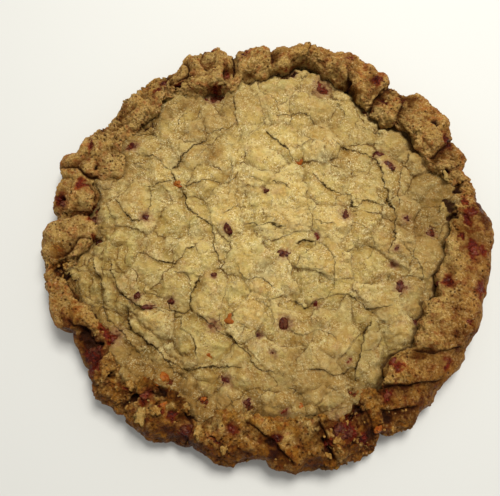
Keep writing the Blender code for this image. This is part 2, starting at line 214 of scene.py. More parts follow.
# Folds of the rim: how deep each is, from 0 to 1, and its run in degrees and mm from the middle
FOLDS = (
    (0.8, ((28, 150), (27, 140), (26, 128), (25, 121))),
    (0.55, ((49, 149), (46, 140), (44, 132), (42, 124), (41, 118))),
    (0.65, ((52, 148), (51, 135), (51, 124), (51, 114))), (0.45, ((77, 156), (77, 145), (77, 134))),
    (0.65, ((88, 152), (88, 138), (87.5, 127))), (0.75, ((99, 144), (100, 130), (101, 119))),
    (0.8, ((103, 128), (104, 121), (104.5, 115))), (0.7, ((115, 144), (114, 134), (116, 130), (120, 128))),
    (0.6, ((121, 142), (121, 133), (122, 127))),
    (0.8, ((124, 126), (127, 119), (129, 116), (134, 115), (140, 116))),
    (0.4, ((141, 140), (141, 128), (139, 120))), (0.4, ((146, 140), (147, 128), (146, 118))),
    (0.65, ((162, 148), (161, 135), (162, 126), (161, 119))), (0.6, ((164, 125), (166, 117), (170, 114))),
    (0.5, ((177, 140), (176, 130), (174.5, 124), (174, 113))),
    (0.5, ((188, 140), (188, 130), (186, 124), (183, 118), (183, 112))),
    (0.65, ((193, 139), (193, 130), (198, 127), (202, 122), (206, 119), (210, 117.5))),
    (0.9, ((205, 136), (209, 131), (213, 127), (216, 122))), (0.8, ((219, 140), (219, 128), (218, 118))),
    (0.7, ((232, 140), (233, 128), (236, 121), (240, 118))), (0.8, ((249, 140), (249, 128), (248, 119))),
    (0.9, (
        (276, 141), (274.5, 136.5), (272.2, 131), (271.2, 127),
        (268, 122.5), (266.3, 118.5), (262.5, 115),
    )),
    (0.8, ((285, 142), (285, 130), (284, 118))), (0.6, ((296, 142), (297, 132), (297, 120), (296, 112))),
    (1.0, ((318, 139), (314, 131), (310, 125), (306, 117), (303, 113))),
    (0.8, ((309, 140), (306, 134), (302, 130), (300, 125))),
    (0.6, ((328, 139), (324, 130), (322, 122), (320, 113))),
    (0.6, ((15, 144), (15, 134), (14, 126), (18, 124))), (0.3, ((20, 140), (19, 130), (20, 120))),
    (0.6, ((64, 138), (63, 130), (61, 121))), (0.5, ((108, 146), (110, 136), (109, 128))),
    (0.5, ((4, 142), (5, 132), (5, 124))),
)
FOLD_DEPTH = 3.0
FOLD_WIDTH = 1.2
FOLD_SAG = 1.3
FOLD_SAG_WIDTH = 4.5
FOLD_LIFT = 1.1
FOLD_LIFT_REACH = 6.0
FOLD_SHADE_WIDTH = 3.2
SIDE_CALM = 0.45
LAYER_SIZE = 5.0
STREAK_SIZE = 2.0
LAYER_SQUEEZE = 0.3

# Noises that make up the relief of each surface: height in mm, further height on rough dough,
# size in mm, seed, whether it makes ridges, and whether it follows the bent axes
CENTRE_SWELLS = (
    (1.6, 0, 38, 21, False, False),
    (3.0, 0, 17, 22, False, False),
)
CENTRE_FINE = (
    (2.6, 0, 10, 55, True, True),
    (0.6, 0, 5.6, 56, False, True),
    (0.7, 0.9, 4.2, 51, True, True),
    (0.3, 0.3, 2.6, 52, False, False),
    (0.2, 0, 1.6, 53, False, False),
)
RIM_RELIEF = (
    (1.8, 0, 12, 77, False, True),
    (0.8, 2.0, 8, 70, True, True),
    (0.4, 1.7, 4.2, 78, True, True),
    (0.3, 1.3, 2.3, 75, True, False),
    (0.22, 0.5, 1.4, 76, False, False),
    (0.15, 0, 0.9, 79, False, False),
)
RIDGE_LEVEL = 0.24

# Domed plates of the centre: size and width of the creases in mm, level of the dome that stays
# as high as before, the step up or down of a plate and of the dome on it, and seed
BROAD_PLATES = (25, 4.6, 0.8, 1.1, 0.9, 41)
SMALL_PLATES = (11, 2.8, 0.75, 0.4, 0.4, 42)
ROW_PLATES = (9, 2.5, 0.68, 0.4, 0.6, 47)
ROW_HEIGHT = 4.6
ROW_RADIUS = 68

# How the centre's points are pushed about: pairs of how far and over what distance, in mm
CENTRE_WARPS = ((1.4, 6), (0.9, 2.4))
BROAD_WARPS = ((4.0, 17),)
ROW_WARPS = ((1.6, 6), (0.8, 2.4))

# Where something is strong: the levels of a noise that count as none and all, its size and seed
BROAD_STRENGTH = (-0.5, 0.4, 30, 45)
SMALL_STRENGTH = (-0.2, 0.5, 19, 46)
RIM_CRAGS = (-0.15, 0.35, 16, 80)
RIM_PORES = (-0.25, 0.3, 18, 95)

# Clods of the crumbly rim: size and width of the creases in mm, and seed
RIM_CLODS = (3.6, 0.7, 81)

# How the rim's points are pushed about: how far and over what distance, in mm, and seed
RIM_WARPS = ((2.4, 12, 71), (1.1, 4.5, 74))

# The pale middle of the centre: its place, from where to where it fades, and how much it is
# squashed; and the darker corner at the right, where it fades in along x and y
# The fade from the pale middle and the darker corner are partly browner baking and partly painted shade
PALE_MIDDLE = (-4, 38)
PALE_FADE = (25, 125)
PALE_SQUASH = 0.9
DUSKY_X = (68, 108)
DUSKY_Y = (-75, -15)

# Darker and paler places of the rim: degrees and mm of the middle, half widths in degrees and
# mm, and how much darker or, below zero, paler. Most are browner or paler crust; a few, along
# the front fold and beside the groove, are painted shade
TINTS = (
    (243, 138, 14, 8, 0.8), (263, 137, 11, 7, 0.7), (212, 131, 6, 7, 0.9), (224, 134, 9, 6, 0.1),
    (291, 132, 7, 14, 0.4), (308, 134, 11, 8, 0.3), (300, 124, 6, 9, 0.2), (190, 134, 5, 7, 0.6),
    (5, 142, 16, 6, 0.25), (180, 122, 6, 5, -0.6), (170, 134, 6, 8, 0.35), (332, 141, 18, 4, 0.35),
    (56, 132, 6, 9, -0.3), (283, 139, 8, 4, 0.4), (196, 119, 13, 7, -0.8), (226, 119, 8, 7, 0.25),
    (254, 119, 6, 9, -0.7), (16, 118, 7, 8, -0.8), (105, 118, 5, 7, -0.6), (277, 117, 9, 5, -0.4),
    (353, 116, 9, 4, -0.5), (48, 118, 6, 6, -0.5), (118, 120, 6, 6, -0.5), (135, 122, 7, 5, -0.4),
    (152, 117, 6, 6, -0.3), (236, 126, 3, 6, -0.3), (273.6, 136, 2.2, 5, 1.0), (270.6, 129.5, 2.2, 5, 1.0),
    (267.4, 123.5, 2, 4, 0.8), (357, 134, 24, 14, 0.45), (322, 132, 18, 14, 0.35), (214, 130, 8, 10, 0.4),
    (184, 134, 24, 14, -0.8), (132, 131, 28, 14, -1.0), (100, 136, 14, 12, -0.6), (41, 133, 11, 8, -0.5),
    (20, 133, 10, 10, -0.8), (243, 112, 12, 8, 1.4), (2, 126, 7, 6, 0.6), (62, 123, 10, 4, 1.5),
    (80, 133, 5, 4, 0.8), (280, 126, 8, 10, -0.4),
)

# Bits of fruit: place, length and width in mm, and kind
FRUIT = (
    (-37, 105, 9, 6, "dark"), (-122, 32, 8, 7, "red"), (-133, 19, 10, 6, "dark"), (-92, 63, 8, 5, "dark"),
    (25, 53, 12, 8, "orange"), (52, 13, 8, 7, "dark"), (11, -14, 7, 6, "dark"), (41, 114, 14, 8, "red"),
    (61, 130, 9, 6, "red"), (-15, 135, 9, 6, "dark"), (124, 62, 8, 6, "dark"), (133, 12, 9, 6, "red"),
    (133, -13, 15, 10, "red"), (112, -33, 11, 6, "dark"), (131, -39, 9, 7, "red"), (85, -36, 8, 5, "dark"),
    (76, -84, 5, 7, "red"), (70, -101, 8, 6, "red"), (49, -99, 9, 5, "orange"), (65, -120, 10, 5, "orange"),
    (11, -59, 8, 7, "dark"), (-23, -56, 7, 4.5, "orange"), (-33, -60, 8, 5, "dark"),
    (-62, -92, 7, 5, "orange"), (-95, -67, 10, 8, "red"), (-104, -75, 12, 8, "dark"),
    (-21, -120, 10, 7, "red"), (-47, -120, 11, 8, "dark"), (-71, -102, 10, 6, "red"),
    (5, -124, 6, 5, "dark"), (43, -120, 15, 11, "dark"), (84, 50, 7, 5, "dark"), (-80, 12, 6, 5, "dark"),
    (-26, 3, 7, 4, "dark"), (-119, 60, 5, 4, "dark"), (-114, 10, 5, 5, "dark"), (-59, 37, 5, 5, "orange"),
    (0, 32, 3, 3, "dark"), (-34, -28, 4, 4, "dark"), (33, -2, 4, 5, "red"), (78, 58, 6, 5, "dark"),
    (-28, 116, 3, 8, "red"), (-73, 111, 6, 5, "dark"), (20, 125, 6, 4, "dark"), (78, 111, 6, 4, "dark"),
    (84, 98, 4, 6, "dark"), (92, 10, 4, 4, "dark"), (109, 1, 5, 5, "dark"), (84, -11, 4, 3, "dark"),
    (82, -21, 4, 4, "dark"), (120, -59, 4, 4, "red"), (92, -58, 3, 3, "dark"), (106, -81, 4, 5, "red"),
    (31, -46, 5, 3, "red"), (-5, -66, 4, 3, "dark"), (3, -77, 4, 3, "red"), (49, -82, 4, 3, "red"),
    (-60, -45, 4, 5, "dark"), (-73, -48, 7, 2.5, "dark"), (-83, -43, 3, 7, "dark"),
    (-35, -78, 3, 4, "orange"), (-25, -93, 7, 3, "dark"), (-12, -106, 4, 4, "dark"),
    (19, -107, 3, 5, "orange"), (10, -111, 3, 4, "red"), (-38, -104, 4, 7, "orange"),
    (-60, -107, 6, 5, "orange"),
)
FRUIT_THICKNESS = 0.62
FRUIT_PROUD = 0.1
FRUIT_SHOWN_INSIDE = 1.35
FRUIT_SHOWN_ON_RIM = 0.8
FRUIT_DETAIL = 4
FRUIT_SWELLS = ((0.5, 0, 0.55, 5, False, False), (0.26, 0, 0.24, 6, False, False))
LONG_FRUIT = 9
PIT_DEPTH = 1.6
PIT_STEEPNESS = 0.35
STAIN_REACH = 1.55

# Each kind of fruit: its dark, light and dull colours
FRUIT_COLOURS = {
    "red": ((0.045, 0.003, 0.001), (0.16, 0.014, 0.004), (0.17, 0.05, 0.018)),
    "dark": ((0.022, 0.002, 0.001), (0.09, 0.010, 0.005), (0.13, 0.048, 0.020)),
    "orange": ((0.20, 0.036, 0.003), (0.38, 0.105, 0.012), (0.32, 0.115, 0.018)),
}

# Spots of each kind: degrees and mm of the middle, half widths in degrees and mm
SPOTS = {
    "red": (
        (356.5, 131, 1.2, 1.6), (9.5, 133, 1.2, 2.2), (4, 130, 2.2, 1.8), (64.5, 153, 1.4, 4),
        (69, 119, 2.4, 2.2), (71.5, 124, 0.8, 2), (95.5, 140, 0.8, 3.4), (165, 127.5, 1.7, 2.4),
        (213, 118, 2.6, 2.0), (216, 117, 1.6, 2.2), (219.5, 135, 1.0, 6), (240, 125, 1.4, 2.2),
        (229.5, 128, 1.1, 1.2), (250, 111, 1.4, 2.2), (291, 128.5, 1.4, 4.8), (288.5, 126, 1.6, 1.6),
        (293.6, 137, 1.0, 4), (298.5, 143, 1.6, 1.8), (296, 111.5, 0.9, 2.8), (304.5, 124, 1.5, 1.7),
        (312, 115, 1.4, 2.2), (321.5, 136, 1.4, 1.8), (344, 139, 1.7, 2.2), (354, 131, 2.2, 2.6),
        (354.5, 138, 1.0, 3.4), (238, 110.8, 1.2, 1.4), (248.5, 132, 1.3, 3),
    ),
    "plum": (
        (1.5, 110.5, 2.2, 1.7), (6, 134, 1.2, 2.2), (19, 129, 0.9, 2.2), (27.5, 140, 2.2, 2.2),
        (46, 137, 1.1, 1.6), (49.5, 129, 1.4, 1.6), (54.5, 138, 1.5, 4.5), (51.5, 116, 1.6, 2),
        (80.5, 128, 1.4, 2.2), (83, 124, 2, 2), (102.5, 123, 0.8, 4), (106, 147, 1.6, 1.7),
        (108.5, 146, 1.1, 1.6), (109, 112, 2, 3.2), (106.5, 109, 1.2, 1.6), (119.5, 126.5, 1.5, 1.2),
        (123, 134, 1.1, 2.2), (126, 131, 1.1, 2.2), (152.5, 135, 1.6, 2.2), (146, 112.5, 2.1, 2.6),
        (171, 137, 1.1, 4), (174.5, 116, 1.2, 2.8), (171.5, 114, 1.8, 1.2), (183, 111, 1.6, 1.2),
        (216, 132, 3, 5), (235, 125, 0.9, 5), (256.5, 130, 1.5, 1.3), (260, 122, 1.7, 2.4),
        (264, 109, 1.4, 2.2), (272, 125, 1.2, 1.3), (285, 132, 1.4, 2.7), (293.5, 122, 2.3, 2.6),
        (343.5, 118, 1.4, 3.6), (334, 136, 0.7, 1.3), (358, 126, 0.6, 1.4), (244, 126, 1.2, 3),
    ),
    "hole": (
        (6, 123, 1.1, 1.6), (9, 124, 1.4, 1.9), (11, 122, 0.8, 2.2), (12.5, 131, 0.7, 2.4),
        (19, 128.5, 0.8, 1.8), (33.5, 138, 1.1, 2), (62, 127, 1, 1.2), (80.6, 127.6, 1.2, 1.6),
        (120, 126, 1, 1), (136, 115.5, 2.2, 0.6), (158.5, 122.5, 0.9, 1), (191, 135, 1.2, 2.2),
        (193, 130, 0.8, 1.6), (210.5, 130, 1.3, 3), (213.8, 130.5, 1.6, 3.4), (215.6, 126, 1.0, 3),
        (224, 129, 0.6, 1.6), (232.6, 130, 0.6, 2.4), (238.5, 117, 2, 0.7), (247.5, 121, 1.5, 1.0),
        (255.5, 129.5, 0.9, 0.9), (290.5, 137, 0.7, 1.6), (293.8, 122, 1.5, 1.7), (295.6, 121, 0.8, 2.4),
        (301, 133, 0.9, 3), (270, 127.5, 1, 1.2), (171.2, 136, 0.8, 2.4), (105, 144, 0.9, 1.4),
        (283.6, 130, 0.7, 1.4),
    ),
    "wet": (
        (246, 134, 5.5, 6), (241, 142, 4, 3), (215, 132, 4, 6), (263, 137, 8, 4), (270.5, 131, 2.2, 6),
        (297, 134, 3.2, 6), (291, 139, 3.2, 4), (310, 139, 5, 3), (252, 139, 3, 4), (190.5, 134, 2.4, 5),
        (5, 141, 6, 3), (281, 141, 4, 3), (206, 136, 4, 3), (171, 137, 3, 4),
    ),
    "amber": (
        (233, 120, 2.6, 4), (262, 138, 6, 3), (285, 144, 1.6, 1.8), (280, 141, 1.2, 1.8),
        (291, 141, 2.5, 3), (298.5, 143.5, 1.8, 2), (302.5, 118, 1.7, 3.2), (241, 144, 3, 1.6),
        (228, 140, 4, 2.4), (257, 136, 3, 3), (319, 140, 4, 2.4), (276, 134, 3, 4), (265.5, 114, 1.5, 3),
        (205, 130, 4, 4), (186, 133, 3, 5),
    ),
    "pale": (
        (225, 128, 4, 5), (233, 129, 2.6, 4), (240, 121, 4, 4), (222, 136, 3, 3), (282, 124, 3.4, 7),
        (256, 119, 6, 6), (197, 119, 8, 5.5), (16, 117, 7, 5), (105, 118, 4, 6), (252, 127, 2, 3),
        (48, 119, 5, 5), (120, 119, 4, 6), (135, 121, 6, 4), (152, 117, 6, 5), (355, 116, 7, 3),
        (239, 127, 2.4, 3), (287, 117, 4, 4), (124, 130, 3, 4), (107, 134, 2.5, 6), (23, 128, 3, 4),
        (171, 121, 4, 4),
    ),
}
SPOT_WARPS = ((2.2, 5), (1.6, 2.2))

# How far the dough sinks in mm at spots of some kinds
CENTRE_SPOT_DEPTHS = {"hole": 2.6, "plum": 0.8}
RIM_SPOT_DEPTHS = {"plum": 1.2, "red": 0.9, "hole": 3.4, "wet": 0.8}

# Crumbs on the rim: middle and half width in degrees, radii in mm, number, and sizes in mm
CRUMBS = (
    (128, 7, 130, 142, 18, 1.8, 4.4), (144, 14, 126, 140, 30, 1.4, 3.2), (116, 6, 132, 142, 8, 1.2, 2.6),
    (228, 11, 121, 142, 24, 1.2, 2.8), (243, 8, 114, 132, 12, 1.2, 2.6), (258, 8, 114, 140, 14, 1.2, 2.6),
    (274, 10, 134, 142, 6, 1.4, 2.4), (290, 10, 118, 145, 40, 1.4, 3.6), (212, 5, 116, 124, 8, 1.4, 2.8),
    (15, 8, 126, 144, 20, 1.4, 3.4), (191, 4, 127, 139, 12, 1.4, 3.0), (303, 7, 130, 144, 10, 1.4, 2.8),
    (50, 5, 128, 146, 10, 1.4, 2.8), (104, 5, 120, 140, 8, 1.4, 2.6),
)

# Crumbs on the outer side: middle and half width in degrees, heights in mm, number, and sizes in mm
EDGE_CRUMBS = (
    (128, 7, 8, 20, 16, 2.0, 5.0), (145, 14, 6, 20, 40, 1.6, 3.8), (228, 10, 3, 18, 10, 1.4, 2.6),
    (250, 14, 3, 16, 10, 1.4, 2.6), (285, 18, 3, 18, 30, 1.6, 3.4), (60, 40, 10, 24, 50, 1.4, 2.8),
    (100, 18, 10, 22, 22, 1.4, 2.8), (20, 14, 6, 20, 20, 1.4, 2.8), (170, 20, 6, 20, 12, 1.2, 2.4),
    (325, 30, 4, 20, 12, 1.2, 2.2),
)

# Flakes: degrees and mm of the middle, length, width and thickness in mm, heading and tilt in
# degrees, and shade
FLAKES = (
    (236.8, 134, 10, 7, 1.2, 72, 18, 0.8), (251.6, 128.5, 7, 5.5, 1.6, 80, 15, 0.65),
    (239.5, 127.5, 6, 5, 1.4, 150, 15, 0.45), (223, 131, 5, 4, 1.2, 40, 20, 0.5),
    (230, 125, 6, 4.5, 1.4, 110, 15, 0.45), (259, 133, 5, 3.4, 1.2, 20, 20, 0.65),
    (287, 132, 5, 4, 1.4, 60, 20, 0.55), (284, 138, 4, 3, 1.2, 150, 25, 0.5),
    (301, 139, 4, 3, 1.2, 130, 25, 0.5), (246, 117, 6, 4.5, 1.4, 30, 15, 0.7),
    (131.5, 143, 7, 6, 3.0, 60, 60, 0.75), (126, 142, 6, 4, 2.6, 40, 60, 0.6),
    (141, 138, 5, 3, 1.6, 30, 50, 0.6), (148, 139, 5, 3, 1.6, 60, 50, 0.5),
    (18, 127, 7, 4, 1.6, 110, 20, 0.9), (9, 119, 7, 4, 2.0, 60, 15, 0.9),
)
CRUMB_DETAIL = 3
CRUMB_SUNK = 0.28
CRUMB_SWELLS = ((0.9, 0, 1.9, 101, False, False), (0.45, 0, 0.9, 102, False, False))
FLAKE_SEED = 900

# The camera, as fitted to the photograph, in the frame of the measurements
CAMERA_PLACE = (-10.8, -105.9, 317.7)
CAMERA_TILT = 17.7
FOCAL_PIXELS = 487.0
IMAGE_WIDTH = 500.0
SENSOR = 36.0

# The floor and the light, in metres and watts
FLOOR_HALF = 2.0
FLOOR_COLOUR = (0.71, 0.715, 0.69)
FLOOR_ROUGHNESS = 0.85
KEY_PLACE = (0.22, 0.45, 1.1)
KEY_SIZE = 0.5
KEY_POWER = 14.5
KEY_COLOUR = (1.0, 0.97, 0.91)
SKY_COLOUR = (1.0, 0.99, 0.96)
SKY_STRENGTH = 0.40

# The noise: factors that scatter the bits of a number, and what brings its peaks to about 1
HASH_PRIMES = (374761393, 668265263, 2246822519, 3266489917)
RELIEF_NOISE_GAIN = 1.6


def lattice_value(ix, iy, iz, seed):
    """A repeatable number from -1 to 1 for each point of an integer lattice."""
    whole = [np.asarray(part).astype(np.int64).astype(np.uint32) for part in (ix, iy, iz)]
    last = np.uint32(HASH_PRIMES[3])
    mixed = np.full(1, seed, np.uint32) * last
    for part, prime in zip(whole, HASH_PRIMES):
        mixed = mixed ^ (part * np.uint32(prime))
        mixed = (mixed ^ (mixed >> np.uint32(15))) * last
    return (mixed ^ (mixed >> np.uint32(13))).astype(float) / 2.0 ** 31 - 1.0


def lattice_noise(axes, size, at_corner):
    """Smooth noise: what at_corner gives for each corner of a point's cell, faded between them."""
    home = [np.floor(np.asarray(axis, float) / size) for axis in axes]
    parts = [np.asarray(axis, float) / size - cell for axis, cell in zip(axes, home)]
    fades = [part * part * part * (part * (part * 6 - 15) + 10) for part in parts]
    total = 0.0
    for corner in np.ndindex(*(2,) * len(axes)):
        place = [cell + step for cell, step in zip(home, corner)] + [0] * (3 - len(axes))
        weight = 1.0
        for fade, step in zip(fades, corner):
            weight = weight * (fade if step else 1 - fade)
        offsets = [part - step for part, step in zip(parts, corner)]
        total = total + weight * at_corner(place, offsets)
    return total


def noise(x, y, z, size, seed):
    """Smooth noise from -1 to 1 with features of about the given size."""
    return lattice_noise((x, y, z), size, lambda place, offsets: lattice_value(*place, seed))


def relief_noise(axes, size, seed):
    """Smooth noise from about -1 to 1 with no grain along the axes, in two or three dimensions."""

    def rise(place, offsets):
        return sum(lattice_value(*place, seed + 100 * k) * offset for k, offset in enumerate(offsets))

    return lattice_noise(axes, size, rise) * RELIEF_NOISE_GAIN


def patchy(axes, low, high, size, seed):
    """Smooth noise spread so that it runs from 0 to 1."""
    return smoothstep(low, high, relief_noise(axes, size, seed))


def layered_relief(rows, axes, bent=None, rough=0.0):
    """Noises of several sizes added up, as in CENTRE_FINE and RIM_RELIEF."""
    total = 0.0
    for height, further, size, seed, ridged, bends in rows:
        wave = relief_noise(bent if bends else axes, size, seed)
        total = total + (height + further * rough) * (np.abs(wave) - RIDGE_LEVEL if ridged else wave)
    return total


def cells(axes, size, seed):
    """Distances to the nearest and second nearest scattered point, and a number of each of the two."""
    home = [np.floor(axis / size) for axis in axes]
    shape = np.shape(axes[0])
    first = np.full(shape, np.inf)
    second = np.full(shape, np.inf)
    label = np.zeros(shape)
    other = np.zeros(shape)
    for step in np.ndindex(*(3,) * len(axes)):
        cell = [corner + offset - 1 for corner, offset in zip(home, step)]
        place = cell + [0] * (3 - len(axes))
        gaps = [
            axis / size - part - 0.5 - 0.5 * lattice_value(*place, seed + k)
            for k, (axis, part) in enumerate(zip(axes, cell))
        ]
        gap = np.sqrt(sum(g * g for g in gaps))
        nearer = gap < first
        next_one = ~nearer & (gap < second)
        number = lattice_value(*place, seed + 7)
        other = np.where(nearer, label, np.where(next_one, number, other))
        second = np.where(nearer, first, np.where(next_one, gap, second))
        label = np.where(nearer, number, label)
        first = np.where(nearer, gap, first)
    return first * size, second * size, label, other


def smoothstep(low, high, value):
    """0 below low, 1 above high, smooth between."""
    part = np.clip((value - low) / (high - low), 0.0, 1.0)
    return part * part * (3 - 2 * part)


def angle_gap(angle, middle):
    """Degrees from the middle to the angle, from -180 to 180."""
    return (angle - middle + 180.0) % 360.0 - 180.0


def fade_round(angle, middle, half, wide, narrow):
    """1 near the middle angle and 0 away from it; wide and narrow count in half widths."""
    return smoothstep(wide, narrow, np.abs(angle_gap(angle, middle)) / half)


def share_round(angle, rows, wide, least=0.0):
    """The largest share at an angle; each row has a middle, a half width and a share."""
    fades = (amount * fade_round(angle, middle, half, wide, 0.7) for middle, half, amount in rows)
    return reduce(np.maximum, fades, np.full(np.shape(angle), least))


def places_round(angle, radius, rows):
    """How far off each row's place is, squared and in its half widths, with the rest of the row."""
    for middle, place, half_angle, half_radius, *rest in rows:
        yield (angle_gap(angle, middle) / half_angle) ** 2 + ((radius - place) / half_radius) ** 2, *rest


def rim_reach(angle, across):
    """Inner radius, outer radius and crest of the rim at an angle; across is -1 inside, 1 outside."""
    inner = np.full(np.shape(angle), RIM_INNER)
    outer = np.full(np.shape(angle), RIM_OUTER)
    crest = np.full(np.shape(angle), RIM_CREST)
    for middle, half, lump_in, lump_out, lump_crest, slant in RIM_LUMPS:
        gap = np.abs(angle_gap(angle, middle + slant * across * 0.5)) / half
        dome = np.sqrt(np.clip(1.0 - gap ** LUMP_EDGE, 0.0, 1.0))
        inner = np.minimum(inner, RIM_INNER + (lump_in - RIM_INNER) * dome)
        outer = np.maximum(outer, RIM_OUTER + (lump_out - RIM_OUTER) * dome)
        crest = np.maximum(crest, RIM_CREST + (lump_crest - RIM_CREST) * dome)
    for middle, half, shift in INNER_SHIFTS:
        inner = inner + shift * fade_round(angle, middle, half, 1.3, 0.4)
    return inner, outer, crest


def front_share(angle, front):
    """1 in the middle of a stretch of the front and 0 away from it."""
    middle, half = front
    return np.exp(-(angle_gap(angle, middle) / half) ** 4)


def rim_surface(angle, turn):
    """Points of the rim: angle round the cake and turn round its section, both in degrees."""
    across = np.cos(np.radians(turn))
    upward = np.sin(np.radians(turn))
    slope = FRONT_SLOPE * front_share(angle, SLOPING_FRONT) * (across > 0) * (upward > 0)
    wide = np.sign(across) * np.abs(across) ** (SECTION_SQUARENESS + slope)
    tall = np.sign(upward) * np.abs(upward) ** (SECTION_SQUARENESS + slope)
    inner, outer, crest = rim_reach(angle, across)
    radius = (inner + outer) / 2 + (outer - inner) / 2 * wide
    waist = np.where(across < 0, RIM_WAIST_INSIDE, RIM_WAIST_OUTSIDE)
    height = waist + np.where(tall > 0, crest - waist, waist) * tall
    ahead, aside = np.cos(np.radians(angle)), np.sin(np.radians(angle))
    x, y = radius * ahead, radius * aside
    bump = sum(size * noise(x, y, height, spread, seed) for size, spread, seed in RIM_BUMPS)
    radius = radius + bump * wide
    height = np.maximum(height + bump * np.maximum(tall, 0), RIM_UNDERSIDE)
    return radius * ahead, radius * aside, height


def smooth_line(points, step):
    """Points about a step apart along a smooth curve through the given points."""
    given = [np.array(point, float) for point in points]
    given = [2 * given[0] - given[1]] + given + [2 * given[-1] - given[-2]]
    line = []
    for a, b, c, d in zip(given, given[1:], given[2:], given[3:]):
        count = max(1, round(np.linalg.norm(c - b) / step))
        for t in np.arange(count) / count:
            bend = (2 * a - 5 * b + 4 * c - d) * t ** 2 + (3 * b - a - 3 * c + d) * t ** 3
            line.append((2 * b + (c - a) * t + bend) / 2)
    line.append(given[-2])
    line = np.array(line)
    for axis, seed in enumerate((11, 12)):
        line[:, axis] += CRACK_WANDER * noise(line[:, 0], line[:, 1], 0, CRACK_WANDER_SIZE, seed)
    return line


def line_gaps(x, y, lines):
    """Distance to the nearest line, how open it is there and on which side of it a point is."""
    nearest = np.full(np.shape(x), FAR_OFF)
    opened = np.zeros(np.shape(x))
    sides = np.zeros(np.shape(x))
    for openness_most, points in lines:
        line = smooth_line(points, CRACK_STEP)
        openness = openness_most * np.minimum(1, 4 * np.sin(math.pi * np.linspace(0, 1, len(line))))
        openness = openness * (0.6 + 0.4 * smoothstep(-0.2, 0.35, noise(*line.T, 0, 7, 13)))
        low = line.min(axis=0) - LINE_REACH
        high = line.max(axis=0) + LINE_REACH
        near = (x > low[0]) & (x < high[0]) & (y > low[1]) & (y < high[1])
        px, py = x[near], y[near]
        best, best_open, best_side = nearest[near], opened[near], sides[near]
        for start, end, open_a, open_b in zip(line, line[1:], openness, openness[1:]):
            run = end - start
            t = np.clip(((px - start[0]) * run[0] + (py - start[1]) * run[1]) / run.dot(run), 0, 1)
            gap = np.hypot(px - start[0] - t * run[0], py - start[1] - t * run[1])
            closer = gap < best
            side = np.sign((py - start[1]) * run[0] - (px - start[0]) * run[1])
            best = np.where(closer, gap, best)
            best_side = np.where(closer, side, best_side)
            best_open = np.where(closer, open_a + (open_b - open_a) * t, best_open)
        nearest[near] = best
        opened[near] = best_open
        sides[near] = best_side
    return nearest, opened, sides


def warped(x, y, sizes, seed):
    """The points pushed about by noise: pairs of how far and over what distance, in mm."""
    far_x = sum(far * relief_noise((x, y), size, seed + 2 * k) for k, (far, size) in enumerate(sizes))
    far_y = sum(far * relief_noise((x, y), size, seed + 2 * k + 1) for k, (far, size) in enumerate(sizes))
    return x + far_x, y + far_y


def fruit_pits(x, y):
    """How far the dough sinks round each bit of fruit."""
    pit = np.zeros_like(x)
    wander = 0.9 * relief_noise((x, y), 2.5, 62)
    for place_x, place_y, length, width, _ in FRUIT:
        reach = (length + width) / 4
        depth = min(PIT_DEPTH, PIT_STEEPNESS * reach)
        gap = np.maximum(np.hypot(x - place_x, y - place_y) + wander, 0)
        pit = np.maximum(pit, depth * np.exp(-(gap / reach) ** 4))
    return pit


def stain_at(x, y, kinds):
    """How much the dough is stained by the bits of fruit of these kinds."""
    stain = np.zeros_like(x)
    wander = 1.2 * noise(x, y, 0, 3, 61)
    for place_x, place_y, length, width, kind in FRUIT:
        if kind in kinds:
            reach = (length + width) / 4 * STAIN_REACH
            gap = np.maximum(np.hypot(x - place_x, y - place_y) + wander, 0)
            stain = np.maximum(stain, np.exp(-(gap / reach) ** 2))
    return stain


def spots_at(x, y, kind):
    """How much of one kind of spot lies on the dough, from 0 to 1."""
    near_x, near_y = warped(x, y, SPOT_WARPS, 63)
    angle = np.degrees(np.arctan2(near_y, near_x))
    places = places_round(angle, np.hypot(near_x, near_y), SPOTS[kind])
    return reduce(np.maximum, (np.exp(-off ** 1.5 * 0.7) for off, in places))


def sunk(spots, depths):
    """How far the dough sinks at spots of several kinds."""
    return sum(depth * spots[kind] for kind, depth in depths.items())


def browner_at(angle, radius):
    """How much darker the centre is, baked browner and partly in painted shade, 0 for not at all."""
    places = places_round(angle, radius, BROWNER)
    return reduce(np.maximum, (amount * np.exp(-off) for off, amount in places))


def tint_at(angle, radius):
    """How much darker, or below zero paler, the rim is: browner crust, and painted shade in a few places.
    """
    places = places_round(angle, radius, TINTS)
    return np.clip(sum(amount * np.exp(-off) for off, amount in places), -1, 1)


def patches_at(x, y, patches):
    """How much of the named patches lies on the dough, from 0 to 1."""
    near_x, near_y = warped(x, y, PATCH_WARPS, 65)
    shares = (
        amount * np.exp(-(np.hypot(near_x - place_x, near_y - place_y) / reach) ** 3)
        for place_x, place_y, reach, amount in patches
    )
    return reduce(np.maximum, shares)


def cobble_zone(angle, radius):
    """Where the centre breaks up into rows of small lumps along the rim, from 0 to 1."""
    shares = (
        amount * fade_round(angle, middle, half, 1.2, 0.8) * smoothstep(start - 6, start + 6, radius)
        for middle, half, start, amount in COBBLES
    )
    return reduce(np.maximum, shares)


def plates(x, y, kind):
    """Domed plates with creases between: dome, step, signed distance to a crease, and a number."""
    size, sharpness, level, step, dome_step, seed = kind
    first, second, label, other = cells((x, y), size, seed)
    edge = (second - first) / 2
    dome = 1 - np.exp(-edge / sharpness)
    return dome - level, label * (step + dome_step * dome), edge * np.sign(label - other), label


def beside_edge(edge, reach):
    """1 at an edge and less away from it on its higher side, almost 0 on its lower side."""
    return np.exp(-np.where(edge > 0, edge / reach, -6 * edge / reach))


def centre_cracks(x, y):
    """How far the dough drops at the cracks, signed distance to the nearest, and how open it is."""
    gap, opened, side = line_gaps(*warped(x, y, CRACK_WARPS, 25), CRACKS)
    sharp = CRACK_DEPTH * np.clip(1 - gap / CRACK_HALF_WIDTH, 0, 1)
    soft = CRACK_SAG * np.exp(-(gap / CRACK_SAG_WIDTH) ** 2)
    lift = CRACK_LIFT * side * np.exp(-(gap / np.where(side > 0, *CRACK_LIFT_REACH)) ** 2)
    return (sharp + soft - lift) * opened, gap * side, opened


